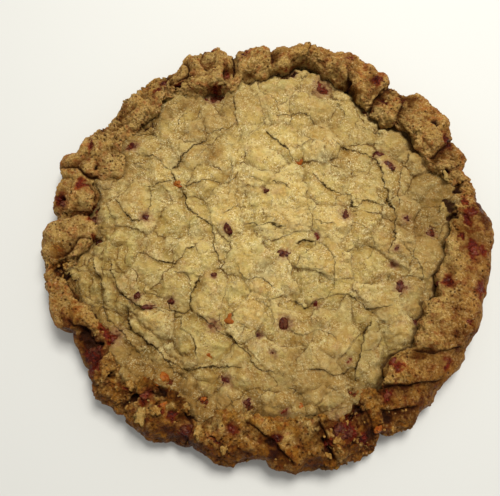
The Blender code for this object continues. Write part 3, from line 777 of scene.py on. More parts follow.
def centre_relief(x, y, rim_edge):
    """Height of the centre's top and the distances and shares that its material needs."""
    radius = np.hypot(x, y)
    angle = np.degrees(np.arctan2(y, x)) % 360
    past_lip = radius - np.interp(angle, *rim_edge, period=360)
    slit = np.interp(angle, *zip(*GROOVE), period=360)
    torn_front = front_share(angle, TORN_FRONT)
    beside_rim = np.exp(-(np.maximum(1 - past_lip, 0) / GROOVE_WIDTH) ** 2)
    dip = (GROOVE_DIP * slit - GROOVE_FILL * (1 - slit)) * beside_rim
    swell = layered_relief(CENTRE_SWELLS, (x, y))
    bent = warped(x, y, CENTRE_WARPS, 31)
    drop, crack_gap, opened = centre_cracks(x, y)

    strong = patchy((x, y), *BROAD_STRENGTH)
    dome, step, broad_edge, broad_label = plates(*warped(*bent, BROAD_WARPS, 35), BROAD_PLATES)
    broad = (1.2 + 2.2 * strong) * dome + step
    some = patchy((x, y), *SMALL_STRENGTH)
    dome, step, small_edge, small_label = plates(*bent, SMALL_PLATES)
    small = (0.4 + 1.1 * some) * dome + some * step
    zone = cobble_zone(angle, radius)
    row_place = warped(radius, np.radians(angle) * ROW_RADIUS, ROW_WARPS, 37)
    dome, step, row_edge, row_label = plates(*row_place, ROW_PLATES)
    rows = zone * (ROW_HEIGHT * dome + step)

    fine = layered_relief(CENTRE_FINE, (x, y), bent, np.exp(-(broad_edge / 5) ** 2))
    spots = {kind: spots_at(x, y, kind) for kind in ("red", "plum", "hole")}
    drop = drop + fruit_pits(x, y) + sunk(spots, CENTRE_SPOT_DEPTHS)
    sink = CENTRE_SINK * np.maximum(past_lip - CENTRE_OVERLAP, 0)
    height = CENTRE_HEIGHT + swell + broad + small + rows - dip - drop + fine - sink
    broad_share = 0.4 + 0.6 * strong
    # Shares for painted light on the raised side of plate edges and cracks, and for painted shade on their
    # lower side
    higher = (
        beside_edge(broad_edge, 2.4) * broad_share,
        beside_edge(small_edge, 1.6) * some,
        beside_edge(crack_gap, 2.4) * opened,
    )
    lower = (
        beside_edge(-broad_edge, 2.2) * broad_share,
        beside_edge(-small_edge, 1.4) * some * 0.7,
        beside_edge(-crack_gap, 2.2) * opened,
    )
    return np.maximum(height, CENTRE_LOWEST), {
        "gap": crack_gap,
        "opened": opened,
        "broad_edge": broad_edge,
        "broad_share": strong,
        "small_edge": np.where(zone > 0.4, row_edge, small_edge),
        "small_share": np.where(zone > 0.4, 1.0, some),
        "depth": drop - 0.5 * broad - 0.5 * small - 0.6 * rows - 0.3 * swell - 0.7 * fine,
        "dome": broad + 0.6 * swell + 0.5 * small + 0.4 * fine,
        "torn": reduce(np.maximum, higher),
        "under": reduce(np.maximum, lower),
        "plate_tone": 0.6 * broad_label + 0.4 * small_label * some + 0.3 * zone * row_label,
        "dusk": np.maximum(smoothstep(*DUSKY_X, x) * smoothstep(*DUSKY_Y, y), browner_at(angle, radius)),
        "golden": patches_at(x, y, GOLDEN),
        "greyish": patches_at(x, y, GREYISH),
        "stain": stain_at(x, y, ("dark", "red")),
        **spots,
        "near_rim": smoothstep(-9 - 9 * torn_front, 0, past_lip) * (0.7 + 0.5 * torn_front),
        "groove": slit * smoothstep(-2.8, -0.6, past_lip + 1.2 * relief_noise((x, y), 4, 54)),
        "tone": smoothstep(*PALE_FADE, np.hypot(x - PALE_MIDDLE[0], (y - PALE_MIDDLE[1]) * PALE_SQUASH)),
    }


def add_values(mesh, name, values):
    """Stores one number for each point of a mesh, for its material."""
    layer = mesh.attributes.new(name, "FLOAT", "POINT")
    layer.data.foreach_set("value", np.asarray(values, np.float32).ravel())


def add_object(name, data):
    """A new object in the scene that holds a mesh, a light or a camera."""
    thing = bpy.data.objects.new(name, data)
    bpy.context.scene.collection.objects.link(thing)
    return thing


def grid_mesh(name, points, faces):
    """A mesh object from points in mm of the measurements' frame."""
    moved = np.array(points, float)
    moved[:, :2] -= OUTLINE_MIDDLE
    mesh = bpy.data.meshes.new(name)
    mesh.from_pydata((moved * MM).tolist(), [], faces)
    mesh.shade_smooth()
    return add_object(name, mesh)


def build_centre(rim_edge):
    """The cracked centre: a square net of points laid over the disc without a pole."""
    side = np.linspace(-1, 1, CENTRE_CELLS + 1)
    u, v = np.meshgrid(side, side, indexing="ij")
    wide = np.abs(u) > np.abs(v)
    reach = np.where(wide, u, v)
    with np.errstate(divide="ignore", invalid="ignore"):
        turn = np.where(wide, math.pi / 4 * v / u, math.pi / 2 - math.pi / 4 * u / v)
    turn = np.nan_to_num(turn)
    x = (reach * np.cos(turn) * CENTRE_RADIUS).ravel()
    y = (reach * np.sin(turn) * CENTRE_RADIUS).ravel()
    height, values = centre_relief(x, y, rim_edge)
    top = np.stack([x, y, height], axis=1)
    count = CENTRE_CELLS + 1
    net = np.arange(count * count).reshape(count, count)
    corners = (net[:-1, :-1], net[1:, :-1], net[1:, 1:], net[:-1, 1:])
    faces = np.stack(corners, axis=-1).reshape(-1, 4).tolist()
    ring = np.concatenate([net[:, 0], net[-1, 1:], net[-2::-1, -1], net[0, -2:0:-1]]).tolist()
    base = top[ring] * (1, 1, 0)
    first = len(top)
    for k in range(len(ring)):
        after = (k + 1) % len(ring)
        faces.append((ring[k], ring[after], first + after, first + k))
    faces.append(tuple(range(first, first + len(ring))))
    piece = grid_mesh("cookie_centre", np.concatenate([top, base]), faces)
    fill = np.full(len(ring), 3.0)
    for name, value in values.items():
        add_values(piece.data, name, np.concatenate([value, fill]))
    return piece


def section_turns():
    """Turns round the rim's section that give even steps over what shows, with few underneath."""
    fine = np.linspace(*SECTION_TURNS, 3000)
    across = np.cos(np.radians(fine))
    upward = np.sin(np.radians(fine))
    wide = np.sign(across) * np.abs(across) ** SECTION_SQUARENESS
    tall = np.sign(upward) * np.abs(upward) ** SECTION_SQUARENESS
    half_width, rise, drop = SECTION_SIZE
    upright = np.where(tall > 0, rise, drop)[1:] * tall[1:]
    run = np.hypot(np.diff(half_width * wide), np.diff(upright, prepend=0))
    travelled = np.concatenate([[0], np.cumsum(run)])
    shown = np.interp(np.linspace(0, travelled[-1], SECTION_STEPS), travelled, fine)
    return np.concatenate([shown, HIDDEN_TURNS])


def fold_lines():
    """The folds of the rim in x and y."""
    return [
        (depth, [(r * math.cos(math.radians(a)), r * math.sin(math.radians(a))) for a, r in run])
        for depth, run in FOLDS
    ]


def layers_along(x, y, z, size):
    """Folded layers that run along the rim, from 0 in a valley to about 1 on a ridge."""
    radius = np.hypot(x, y)
    angle = np.degrees(np.arctan2(y, x))
    shares = smoothstep(60, 120, np.abs(angle))
    total = 0.0
    for share, arc in ((shares, angle % 360), (1 - shares, angle)):
        run = np.radians(arc) * RIM_MIDDLE[0] * LAYER_SQUEEZE
        total = total + share * np.abs(relief_noise((radius, run, z), size, 97))
    return total


def crossing(along, around):
    """Unit vectors at right angles to two runs of the rim's surface."""
    normal = np.cross(along, around)
    return normal / np.maximum(np.linalg.norm(normal, axis=-1, keepdims=True), 1e-9)


def rolled_step(points, axis):
    """From the point before to the point after, going round an axis of the net."""
    return np.roll(points, -1, axis=axis) - np.roll(points, 1, axis=axis)


def rim_normals(points, angle):
    """Directions out of the rim before its relief is added."""
    normal = crossing(rolled_step(points, 0), np.gradient(points, axis=1))
    turn = np.radians(angle)
    radius, height = RIM_MIDDLE
    middle = np.stack([radius * np.cos(turn), radius * np.sin(turn), np.full_like(angle, height)], axis=-1)
    return normal * np.sign((normal * (points - middle)).sum(axis=-1, keepdims=True))


def rim_relief(space, angle, turn):
    """How far the crust stands out from the plain rim, and the values that its material needs."""
    x, y, z = space
    rough = share_round(angle, CRUMBLY, 1.25, LEAST_CRUMBLY)
    bent = tuple(
        axis + sum(far * relief_noise(space, size, seed + k) for far, size, seed in RIM_WARPS)
        for k, axis in enumerate(space)
    )
    gap, opened, side = line_gaps((bent[0] + x) / 2, (bent[1] + y) / 2, fold_lines())
    opened = opened * smoothstep(2, 8, z)
    fold = opened * np.clip(1 - gap / FOLD_WIDTH, 0, 1)
    relief = -FOLD_DEPTH * fold - FOLD_SAG * opened * np.exp(-(gap / FOLD_SAG_WIDTH) ** 2)
    relief -= FOLD_LIFT * opened * side * np.exp(-(gap / FOLD_LIFT_REACH) ** 2)
    crag = np.maximum(rough, 0.4 * patchy(space, *RIM_CRAGS))
    relief += layered_relief(RIM_RELIEF, space, bent, crag)
    relief += (0.6 + 1.3 * crag) * (layers_along(*bent, LAYER_SIZE) - RIDGE_LEVEL)
    size, sharpness, seed = RIM_CLODS
    first, second, label, _ = cells(bent, size, seed)
    edge = (second - first) / 2
    relief += rough * (0.6 * (1 - np.exp(-edge / sharpness)) + 0.9 * label - 0.35)
    pored = patchy(space, *RIM_PORES)
    hollow = relief_noise((x + 0.6 * bent[0], y + 0.6 * bent[1], z), 2.2, 91)
    hollow = hollow + 0.35 * relief_noise(space, 1.2, 93)
    pore = smoothstep(0.5, 0.72, hollow) * (0.25 + 0.6 * pored)
    spots = {kind: spots_at(x, y, kind) for kind in SPOTS}
    relief *= 1 - 0.5 * np.maximum(spots["wet"], spots["red"]) * (1 - fold)
    relief *= 1 - SIDE_CALM * smoothstep(15, 6, z) * (turn < 90)
    relief *= 1 - share_round(angle, SMOOTHED, 1.2) * smoothstep(110, 60, turn) * (1 - fold)
    relief -= 1.3 * pore + sunk(spots, RIM_SPOT_DEPTHS)
    gaps = rough * np.exp(-(edge / 0.5) ** 2) * 0.7
    return relief, {
        "pore": reduce(np.maximum, (pore, gaps, 0.8 * fold)),
        "depth": -relief,
        "fold_gap": gap * side,
        "fold_open": opened,
        "fold_shade": opened * beside_edge(gap * side, FOLD_SHADE_WIDTH),
        "clod": label * rough,
        "streak": layers_along(*bent, STREAK_SIZE),
        **spots,
    }


def build_rim():
    """The rim with its crags, pores and crumbs as real relief, and its inner edge from above."""
    turns = section_turns()
    angles = np.arange(RIM_STEPS) * 360.0 / RIM_STEPS
    angle, turn = np.meshgrid(angles, turns, indexing="ij")
    x, y, z = rim_surface(angle, turn)
    radius = np.hypot(x, y)
    points = np.stack([x, y, z], axis=-1)
    relief, values = rim_relief((x, y, z), angle, turn)
    points = points + rim_normals(points, angle) * relief[..., None]
    points[..., 2] = np.maximum(points[..., 2], RIM_UNDERSIDE)
    facing = crossing(rolled_step(points, 0), rolled_step(points, 1))
    inner, outer, _ = rim_reach(angle, np.cos(np.radians(turn)))
    values["stain"] = stain_at(x, y, ("dark", "red"))
    values["outness"] = np.clip((radius - inner) / (outer - inner), 0, 1)
    values["front"] = front_share(angle, BROWNED_AND_SHADED_FRONT)
    values["tint"] = tint_at(angle, radius)
    pieces = []
    span = RIM_STEPS // RIM_HALVES
    count = len(turns)
    net = np.arange((span + 1) * count).reshape(span + 1, count)
    after = np.roll(net, -1, axis=1)
    faces = np.stack([net[:-1], net[1:], after[1:], after[:-1]], axis=-1).reshape(-1, 4).tolist()
    for half in range(RIM_HALVES):
        rows = np.arange(half * span, (half + 1) * span + 1) % RIM_STEPS
        piece = grid_mesh("cookie_rim_%d" % (half + 1), points[rows].reshape(-1, 3), faces)
        piece.data.normals_split_custom_set_from_vertices(facing[rows].reshape(-1, 3).tolist())
        for name, value in values.items():
            add_values(piece.data, name, value[rows])
        pieces.append(piece)
    return pieces, (angles, np.hypot(points[..., 0], points[..., 1]).min(axis=1))


class Look:
    """A material in the making, with the colour of its surface so far.

    A source is a socket, a number, the name of a value stored on the mesh, or a noise, given by
    its size in mm, detail, roughness and seed.
    """

    def __init__(self, name):
        self.material = bpy.data.materials.new(name)
        self.material.use_nodes = True
        self.tree = self.material.node_tree
        self.shader = self.tree.nodes["Principled BSDF"]
        self.colour = None

    def fill(self, socket, value):
        """Links a source to a socket, or sets the socket to a number, a vector or a colour."""
        if isinstance(value, str):
            value = self.node("ShaderNodeAttribute", attribute_name=value).outputs["Fac"]
        elif isinstance(value, tuple) and len(value) == 4:
            value = self.noise(*value).outputs["Fac"]
        if isinstance(value, bpy.types.NodeSocket):
            self.tree.links.new(value, socket)
        else:
            socket.default_value = (*value, 1.0) if socket.type == "RGBA" else value

    def node(self, kind, *sources, **values):
        """A node with its first sockets filled in turn; named values are settings or sockets."""
        node = self.tree.nodes.new(kind)
        for name, value in values.items():
            if hasattr(node, name):
                setattr(node, name, value)
            else:
                self.fill(node.inputs[name], value)
        for socket, source in zip(node.inputs, sources):
            self.fill(socket, source)
        return node

    def vector(self, operation, *sources, **values):
        """One step of arithmetic on vectors."""
        return self.node("ShaderNodeVectorMath", *sources, operation=operation, **values).outputs[0]

    def place(self):
        """The coordinates of the mesh."""
        return self.node("ShaderNodeTexCoord").outputs["Object"]

    def noise(self, size_mm, detail, roughness, seed):
        """A noise texture with features of about the given size."""
        moved = self.vector("ADD", self.place(), (seed, seed * 0.7, seed * 0.3))
        values = {"Scale": 1 / (size_mm * MM), "Detail": detail, "Roughness": roughness, "Vector": moved}
        return self.node("ShaderNodeTexNoise", **values)

    def math(self, operation, first, second):
        """One step of arithmetic on sources."""
        return self.node("ShaderNodeMath", first, second, operation=operation).outputs[0]

    def times(self, first, second):
        """The product of two sources."""
        return self.math("MULTIPLY", first, second)

    def plus(self, first, second):
        """The sum of two sources."""
        return self.math("ADD", first, second)

    def minus(self, first, second):
        """The first source less the second."""
        return self.math("SUBTRACT", first, second)

    def larger(self, first, second):
        """The larger of two sources."""
        return self.math("MAXIMUM", first, second)

    def spread(self, source, low, high, to_low=0.0, to_high=1.0):
        """The source mapped from one range to another, held at the ends."""
        return self.node("ShaderNodeMapRange", source, low, high, to_low, to_high).outputs[0]

    def between(self, share, first, second):
        """A number between the first and the second."""
        node = self.node("ShaderNodeMix", share, data_type="FLOAT")
        self.fill(node.inputs[2], first)
        self.fill(node.inputs[3], second)
        return node.outputs[0]

    def mix(self, share, first, second, blend="MIX"):
        """A colour between the first and the second."""
        node = self.node("ShaderNodeMix", share, data_type="RGBA", blend_type=blend)
        self.fill(node.inputs[6], first)
        self.fill(node.inputs[7], second)
        return node.outputs[2]

    def over(self, share, colour):
        """Lays a colour over the colour so far."""
        self.colour = self.mix(share, self.colour, colour)

    def darken(self, share, factor):
        """Multiplies the colour so far by the factor, as far as the share says."""
        self.colour = self.mix(share, self.colour, factor, "MULTIPLY")

    def wandering(self, wander_mm, size_mm, seed):
        """The mesh's coordinates pushed about by noise, for lines that wander."""
        shift = self.noise(size_mm, 3.0, 0.6, seed).outputs["Color"]
        centred = self.vector("SUBTRACT", shift, (0.5, 0.5, 0.5))
        return self.vector("ADD", self.place(), self.vector("SCALE", centred, Scale=wander_mm * MM))

    def hairlines(self, size_mm, width_mm, seed):
        """Fine wandering cracks, 1 on a line and 0 away from it, with some stretches left out."""
        place = self.wandering(size_mm * 0.8, size_mm * 0.5, seed)
        scale = 1 / (size_mm * MM)
        texture = self.node("ShaderNodeTexVoronoi", feature="DISTANCE_TO_EDGE", Scale=scale, Vector=place)
        line = self.spread(texture.outputs["Distance"], 0.0, width_mm / size_mm, 1.0, 0.0)
        return self.times(line, self.spread((size_mm * 1.3, 2, 0.6, seed + 0.37), 0.5, 0.56))

    def pits(self, size_mm, wide_mm, seed):
        """Small round holes, 1 in a hole and 0 round it, in some places only."""
        place = self.wandering(size_mm * 0.5, size_mm, seed)
        texture = self.node("ShaderNodeTexVoronoi", Scale=1 / (size_mm * MM), Vector=place)
        share = wide_mm / size_mm
        hole = self.spread(texture.outputs["Distance"], share * 0.7, share * 1.3, 1.0, 0.0)
        kept = self.spread(texture.outputs["Color"], 0.45, 0.55)
        shown = self.spread((9, 2, 0.6, seed + 0.57), 0.47, 0.58, 0.05, 1.0)
        return self.times(hole, self.times(kept, shown))

    def line(self, name, share, thin_mm, wide_mm, seed):
        """A drawn line where the stored distance passes zero, wider where the share is higher."""
        wander = self.spread((1.7, 3, 0.7, seed), 0.3, 0.7, -0.28, 0.28)
        gap = self.math("ABSOLUTE", self.plus(name, wander), 0.0)
        inside = self.minus(1.0, self.math("DIVIDE", gap, self.between(share, thin_mm, wide_mm)))
        return self.spread(inside, 0.0, 0.6)

    def jam(self):
        """How much jam covers the dough, with a ragged edge, and its colour."""
        uneven = self.spread((2.2, 4, 0.7, 5.2), 0.3, 0.7, -0.4, 0.4)
        red, plum = (self.spread(self.plus(kind, uneven), 0.42, 0.72) for kind in ("red", "plum"))
        blotch = self.spread((1.5, 4, 0.7, 4.2), 0.42, 0.62)
        wet_red = self.mix(blotch, (0.045, 0.003, 0.001), (0.165, 0.015, 0.005))
        wet_plum = self.mix(blotch, (0.022, 0.002, 0.0005), (0.14, 0.014, 0.004))
        return self.larger(red, plum), self.mix(red, wet_plum, wet_red)

    def finish(self, roughness, specular, fine, distance_mm):
        """Fills the shader, with fine relief below the mesh's own detail; gives the material."""
        bump = self.node("ShaderNodeBump", Strength=1.0, Distance=distance_mm * MM, Height=fine)
        self.fill(self.shader.inputs["Base Color"], self.colour)
        self.fill(self.shader.inputs["Roughness"], roughness)
        self.fill(self.shader.inputs["Specular IOR Level"], specular)
        self.fill(self.shader.inputs["Normal"], bump.outputs[0])
        return self.material


def centre_material():
    """Pale baked dough with painted glints of a sugary sparkle, browner in spots, with painted shade in the
    cracks.
    """
    look = Look("pale_dough")
    broad = look.spread((26, 4, 0.6, 1.3), 0.35, 0.65)
    pale = look.mix(broad, (0.73, 0.53, 0.165), (0.65, 0.445, 0.12))
    toned = look.mix(broad, (0.50, 0.32, 0.086), (0.40, 0.24, 0.06))
    # Paler in the middle and darker towards the edge: browner baking, and partly painted shade
    look.colour = look.mix("tone", pale, toned)

    # Plates and patches
    look.over(look.spread("plate_tone", -0.1, -0.8, 0.0, 0.5), (0.72, 0.58, 0.20))
    look.over(look.spread("plate_tone", 0.1, 0.8, 0.0, 0.55), (0.53, 0.32, 0.088))
    high = look.plus("dome", look.spread((9, 3, 0.55, 3.7), 0.3, 0.7, -1.5, 1.5))
    look.over(look.spread(high, 0.4, 2.6, 0.0, 0.9), (0.62, 0.365, 0.088))
    pink = look.spread((9, 4, 0.65, 8.3), 0.52, 0.66, 0.0, 0.6)
    look.over(pink, (0.56, 0.335, 0.15))
    yellow = look.spread((8, 4, 0.65, 12.1), 0.50, 0.64, 0.0, 0.6)
    look.over(yellow, (0.72, 0.585, 0.19))
    # A cooler grey in patches, strongest in the low parts, where it is partly painted shade
    cool = look.spread((10, 4, 0.65, 5.9), 0.50, 0.62, 0.0, 0.6)
    look.over(look.times(cool, look.spread("dome", -1.6, 0.8, 1.0, 0.2)), (0.46, 0.40, 0.155))
    look.over("golden", (0.42, 0.225, 0.048))
    look.over("greyish", (0.40, 0.345, 0.17))
    light = look.spread((5, 3, 0.6, 2.9), 0.54, 0.66, 0.0, 0.5)
    look.over(light, (0.80, 0.66, 0.29))

    # Painted light on the raised side of plate edges and cracks, painted shade on their lower side, darker
    # places, painted highlight on crests, painted shade in hollows, and browner beside the rim
    # Painted light along the raised side of plate edges and cracks, broken up by noise
    ragged = look.spread((3, 3, 0.65, 5.4), 0.38, 0.6, 0.1, 0.9)
    look.over(look.times("torn", ragged), (0.86, 0.72, 0.34))
    # Painted shade along the lower side of plate edges and cracks, broken up by noise
    shade_breakup = look.spread((4, 3, 0.65, 9.4), 0.35, 0.6, 0.1, 0.8)
    look.over(look.times("under", shade_breakup), (0.29, 0.165, 0.034))
    # Darker at the right corner and at the browner places: browner baking, and partly painted shade
    look.over(look.times("dusk", 0.65), (0.29, 0.165, 0.042))
    crusty = look.spread("dusk", 1.2, 1.9, 0.0, 0.8)
    look.over(crusty, (0.19, 0.085, 0.014))
    # Painted highlight on the crests, weaker where the centre is darker
    crest = look.times(look.spread("depth", -0.5, -2.6, 0.0, 0.55), look.spread("dusk", 0.8, 1.9, 1.0, 0.3))
    look.over(crest, (0.85, 0.68, 0.29))
    # Painted shade in the hollows
    look.darken(look.spread("depth", 0.3, 2.8), (0.63, 0.545, 0.39))
    # Browner beside the rim, partly from baking and partly painted shade under the rim's edge
    edging = look.plus("near_rim", look.spread((6, 4, 0.65, 10.4), 0.35, 0.65, -0.3, 0.3))
    look.over(look.spread(edging, 0.2, 1.0, 0.0, 0.6), (0.34, 0.19, 0.045))

    # Grain, painted glints of a sugary sparkle, and specks
    sandy = look.spread((9, 3, 0.6, 24.7), 0.42, 0.58, 0.2, 1.0)
    pale_sandy = look.times(sandy, look.spread(look.larger("tone", "dusk"), 0.3, 1.0, 1.0, 0.45))
    grain = look.spread((1.9, 4, 0.75, 7.3), 0.54, 0.61, 0.0, 0.75)
    look.over(look.times(grain, pale_sandy), (0.86, 0.71, 0.34))
    mottle = look.spread((1.8, 4, 0.75, 6.1), 0.37, 0.45, 0.75, 0.0)
    look.over(look.times(mottle, sandy), (0.36, 0.185, 0.036))
    # Painted glints of a sugary sparkle
    sugar_glint = look.spread((1.05, 2, 0.7, 14.3), 0.57, 0.61, 0.0, 0.85)
    look.over(look.times(sugar_glint, pale_sandy), (0.94, 0.82, 0.48))
    pits = look.spread((1.15, 2, 0.7, 15.7), 0.36, 0.41, 0.9, 0.0)
    look.over(look.times(pits, sandy), (0.30, 0.145, 0.022))
    specks = look.spread((1.7, 1, 0.5, 9.1), 0.22, 0.27, 0.85, 0.0)
    look.over(specks, (0.12, 0.05, 0.008))

    # Creases and fine cracks between the plates, painted dark for the shade in them
    look.over(look.times(look.hairlines(6.5, 0.2, 0.91), 0.45), (0.13, 0.06, 0.01))
    seen = look.spread((11, 3, 0.6, 2.3), 0.46, 0.58)
    plate = look.line("broad_edge", look.times(seen, "broad_share"), 0.16, 0.38, 4.9)
    plate = look.times(plate, look.spread(seen, 0.0, 1.0, 0.1, 0.8))
    # A noise that breaks up the lines of the small plates
    torn = look.spread((5, 3, 0.6, 6.6), 0.45, 0.58, 0.05, 0.65)
    small = look.line("small_edge", "small_share", 0.12, 0.3, 3.9)
    lines = look.larger(plate, look.times(small, look.times("small_share", torn)))
    look.over(lines, (0.11, 0.042, 0.004))

    # Stains, painted shade in the groove along the rim, in the cracks, holes and pits, and jam
    stained = look.plus("stain", look.spread((2.5, 3, 0.6, 3.1), 0.3, 0.7, -0.3, 0.3))
    look.over(look.spread(stained, 0.15, 0.75, 0.0, 0.6), (0.29, 0.135, 0.075))
    look.over(look.spread(stained, 0.75, 1.0, 0.0, 0.8), (0.11, 0.022, 0.008))
    # Painted shade in the groove along the rim
    look.over(look.times("groove", 0.85), (0.05, 0.018, 0.003))
    # Painted shade inside the cracks, drawn as dark broken lines
    crack = look.line("gap", look.spread("opened", 0.4, 0.95), 0.19, 0.46, 5.9)
    crack = look.times(crack, look.spread("opened", 0.02, 0.25))
    crack = look.times(crack, look.spread((2.6, 3, 0.65, 27.1), 0.37, 0.5, 0.25, 1.0))
    look.over(look.times(crack, look.spread("opened", 0.2, 0.8, 0.7, 0.97)), (0.035, 0.012, 0.001))
    jam, wet = look.jam()
    look.over(look.times(jam, 0.9), wet)
    # Painted shade in the holes and small pits
    look.over(look.spread("hole", 0.2, 0.5, 0.0, 0.93), (0.05, 0.014, 0.006))
    look.over(look.times(look.pits(3.6, 0.5, 3.3), 0.7), (0.12, 0.055, 0.01))

    sparkle = look.spread((3.5, 4, 0.7, 11.7), 0.50, 0.60, 0.7, 0.26)
    fine = look.minus((2.2, 5, 0.72, 4.4), look.times(lines, 0.3))
    fine = look.minus(fine, look.times(crack, 0.6))
    return look.finish(look.between(jam, sparkle, 0.22), 0.1, fine, 2.0)


def rim_material():
    """Browned crust, darkest low on the outside and at the front, where it is browner and in painted shade.
    """
    look = Look("browned_dough")
    broad = look.spread((20, 4, 0.6, 1.9), 0.35, 0.65)
    inside = look.mix(broad, (0.56, 0.35, 0.095), (0.46, 0.265, 0.06))
    outside = look.mix(broad, (0.49, 0.25, 0.054), (0.37, 0.165, 0.026))
    look.colour = look.mix(look.spread("outness", 0.05, 0.75), inside, outside)
    inner = look.times(look.spread("outness", 0.0, 0.4, 0.6, 0.0), look.spread("front", 0.0, 1.0, 1.0, 0.3))
    look.over(inner, (0.60, 0.41, 0.13))

    # Patches, crumbs, painted highlights on raised parts, grain and painted glints
    orange = look.spread((13, 3, 0.6, 4.1), 0.52, 0.68, 0.0, 0.6)
    look.over(orange, (0.42, 0.17, 0.025))
    uneven = look.spread((5, 4, 0.65, 8.8), 0.35, 0.65, -0.3, 0.3)
    tint = look.plus("tint", uneven)
    look.over(look.spread(tint, -0.7, -0.1, 0.8, 0.0), (0.50, 0.32, 0.09))
    look.over(look.spread(look.plus("pale", uneven), 0.3, 0.9, 0.0, 0.85), (0.52, 0.36, 0.115))
    look.over(look.spread("clod", 0.1, 0.8, 0.0, 0.5), (0.50, 0.29, 0.07))
    look.darken(look.spread("clod", -0.8, -0.1, 0.7, 0.0), (0.55, 0.43, 0.27))
    light = look.spread((4, 4, 0.7, 2.9), 0.52, 0.68, 0.0, 0.5)
    look.over(light, (0.60, 0.36, 0.105))
    # Painted highlight on the raised parts of the crust
    look.over(look.spread("depth", -0.2, -1.9, 0.0, 0.5), (0.60, 0.345, 0.085))
    sandy = look.spread((7, 3, 0.6, 24.7), 0.4, 0.6, 0.35, 1.0)
    grain = look.times(look.spread((1.35, 4, 0.8, 7.9), 0.49, 0.59, 0.0, 0.65), sandy)
    look.over(grain, (0.76, 0.51, 0.21))
    mottle = look.spread((1.6, 4, 0.75, 6.3), 0.38, 0.47, 0.65, 0.0)
    look.darken(mottle, (0.40, 0.29, 0.17))
    # Painted glints
    glint = look.spread((1.3, 2, 0.7, 19.1), 0.62, 0.66, 0.0, 0.65)
    look.over(glint, (0.90, 0.68, 0.36))

    # Browning and painted shade at the front, damp and wet places, and painted shade in hollows
    # Darker low on the outer side of the front, browner and in painted shade, and at the darker tints
    dark = look.times(look.spread("outness", 0.4, 1.0, 0.0, 0.6), "front")
    look.darken(look.larger(dark, look.spread(tint, 0.1, 0.9)), (0.40, 0.27, 0.14))
    damp = look.times(look.spread((8, 4, 0.6, 21.3), 0.44, 0.58), "front")
    look.darken(damp, (0.72, 0.57, 0.33))
    wet = look.spread(look.plus("wet", uneven), 0.35, 0.8)
    look.darken(wet, (0.46, 0.31, 0.15))
    glow = look.times(look.spread((6, 4, 0.6, 17.9), 0.5, 0.58), "front")
    amber = look.larger(look.spread(look.plus("amber", uneven), 0.35, 0.8), glow)
    look.over(look.times(amber, 0.6), (0.36, 0.14, 0.010))
    streak = look.times(look.spread("streak", 0.0, 0.2, 1.0, 0.0), look.spread("front", 0.0, 1.0, 0.4, 1.0))
    look.darken(streak, (0.55, 0.42, 0.25))
    # Painted shade in the hollows of the crust
    look.darken(look.spread("depth", -0.1, 1.9), (0.30, 0.19, 0.09))
    fleck = look.spread((1.25, 2, 0.7, 33.1), 0.36, 0.41, 0.75, 0.0)
    look.darken(fleck, (0.42, 0.30, 0.18))

    # Painted shade in pores, holes and folds, with stains and jam
    # Painted shade in pores, in the gaps between clods and in folds
    look.over(look.spread("pore", 0.2, 0.9, 0.0, 0.85), (0.06, 0.015, 0.001))
    look.over(look.spread("stain", 0.35, 1.0, 0.0, 0.6), (0.16, 0.022, 0.006))
    halo = look.plus(look.larger("red", look.times("plum", 0.7)), uneven)
    look.darken(look.spread(halo, 0.0, 0.5), (0.75, 0.30, 0.22))
    jam, wet_jam = look.jam()
    look.over(look.times(jam, 0.88), wet_jam)
    # Painted shade in the holes
    look.over(look.spread("hole", 0.2, 0.6, 0.0, 0.95), (0.035, 0.010, 0.003))
    shaded = look.times("fold_shade", look.spread(uneven, -0.3, 0.3, 0.5, 1.0))
    look.darken(shaded, (0.22, 0.13, 0.06))
    # Painted shade in the creases of the folds
    crease = look.line("fold_gap", look.spread("fold_open", 0.3, 0.9), 0.25, 0.7, 7.9)
    look.over(look.times(crease, look.spread("fold_open", 0.05, 0.4, 0.0, 0.85)), (0.04, 0.010, 0.001))
    # Painted shade in small holes
    holes = look.pits(2.3, 0.64, 2.2)
    look.over(look.times(holes, 0.9), (0.06, 0.015, 0.001))

    glossy = look.larger(jam, look.times(wet, 0.7))
    baked = look.spread((4.5, 4, 0.7, 23.3), 0.48, 0.62, 0.7, 0.38)
    fine = look.minus((2.2, 5, 0.75, 4.4), look.times(holes, 0.4))
    fine = look.between(look.times(glossy, 0.6), fine, 0.5)
    return look.finish(look.between(glossy, baked, 0.22), 0.1, fine, 2.4)


def fruit_material(name, dark, light, dull):
    """Sticky baked fruit, darker and lighter in patches, with duller spots."""
    look = Look(name)
    look.colour = look.mix(look.spread((1.8, 3, 0.65, 2.7), 0.38, 0.64), dark, light)
    look.over(look.spread((2.2, 4, 0.7, 5.7), 0.46, 0.6, 0.0, 0.9), dull)
    sticky = look.spread((1.2, 2, 0.6, 6.1), 0.4, 0.6, 0.16, 0.4)
    return look.finish(sticky, 0.12, (0.9, 3, 0.6, 8.2), 0.4)


def crumb_material():
    """Baked crumbs, each from dark brown to pale."""
    look = Look("crumb_dough")
    shade = look.plus("shade", look.spread((2, 3, 0.6, 1.2), 0.3, 0.7, -0.15, 0.15))
    look.colour = look.mix(look.spread(shade, 0.0, 0.6), (0.11, 0.038, 0.004), (0.33, 0.165, 0.032))
    look.over(look.spread(shade, 0.6, 1.0), (0.38, 0.265, 0.085))
    grain = look.spread((1.0, 3, 0.8, 7.9), 0.5, 0.66, 0.0, 0.5)
    look.over(grain, (0.66, 0.46, 0.18))
    mottle = look.spread((1.3, 3, 0.75, 6.3), 0.34, 0.5, 0.6, 0.0)
    look.over(mottle, (0.14, 0.05, 0.006))
    return look.finish(0.7, 0.07, (1.1, 3, 0.7, 4.4), 0.8)


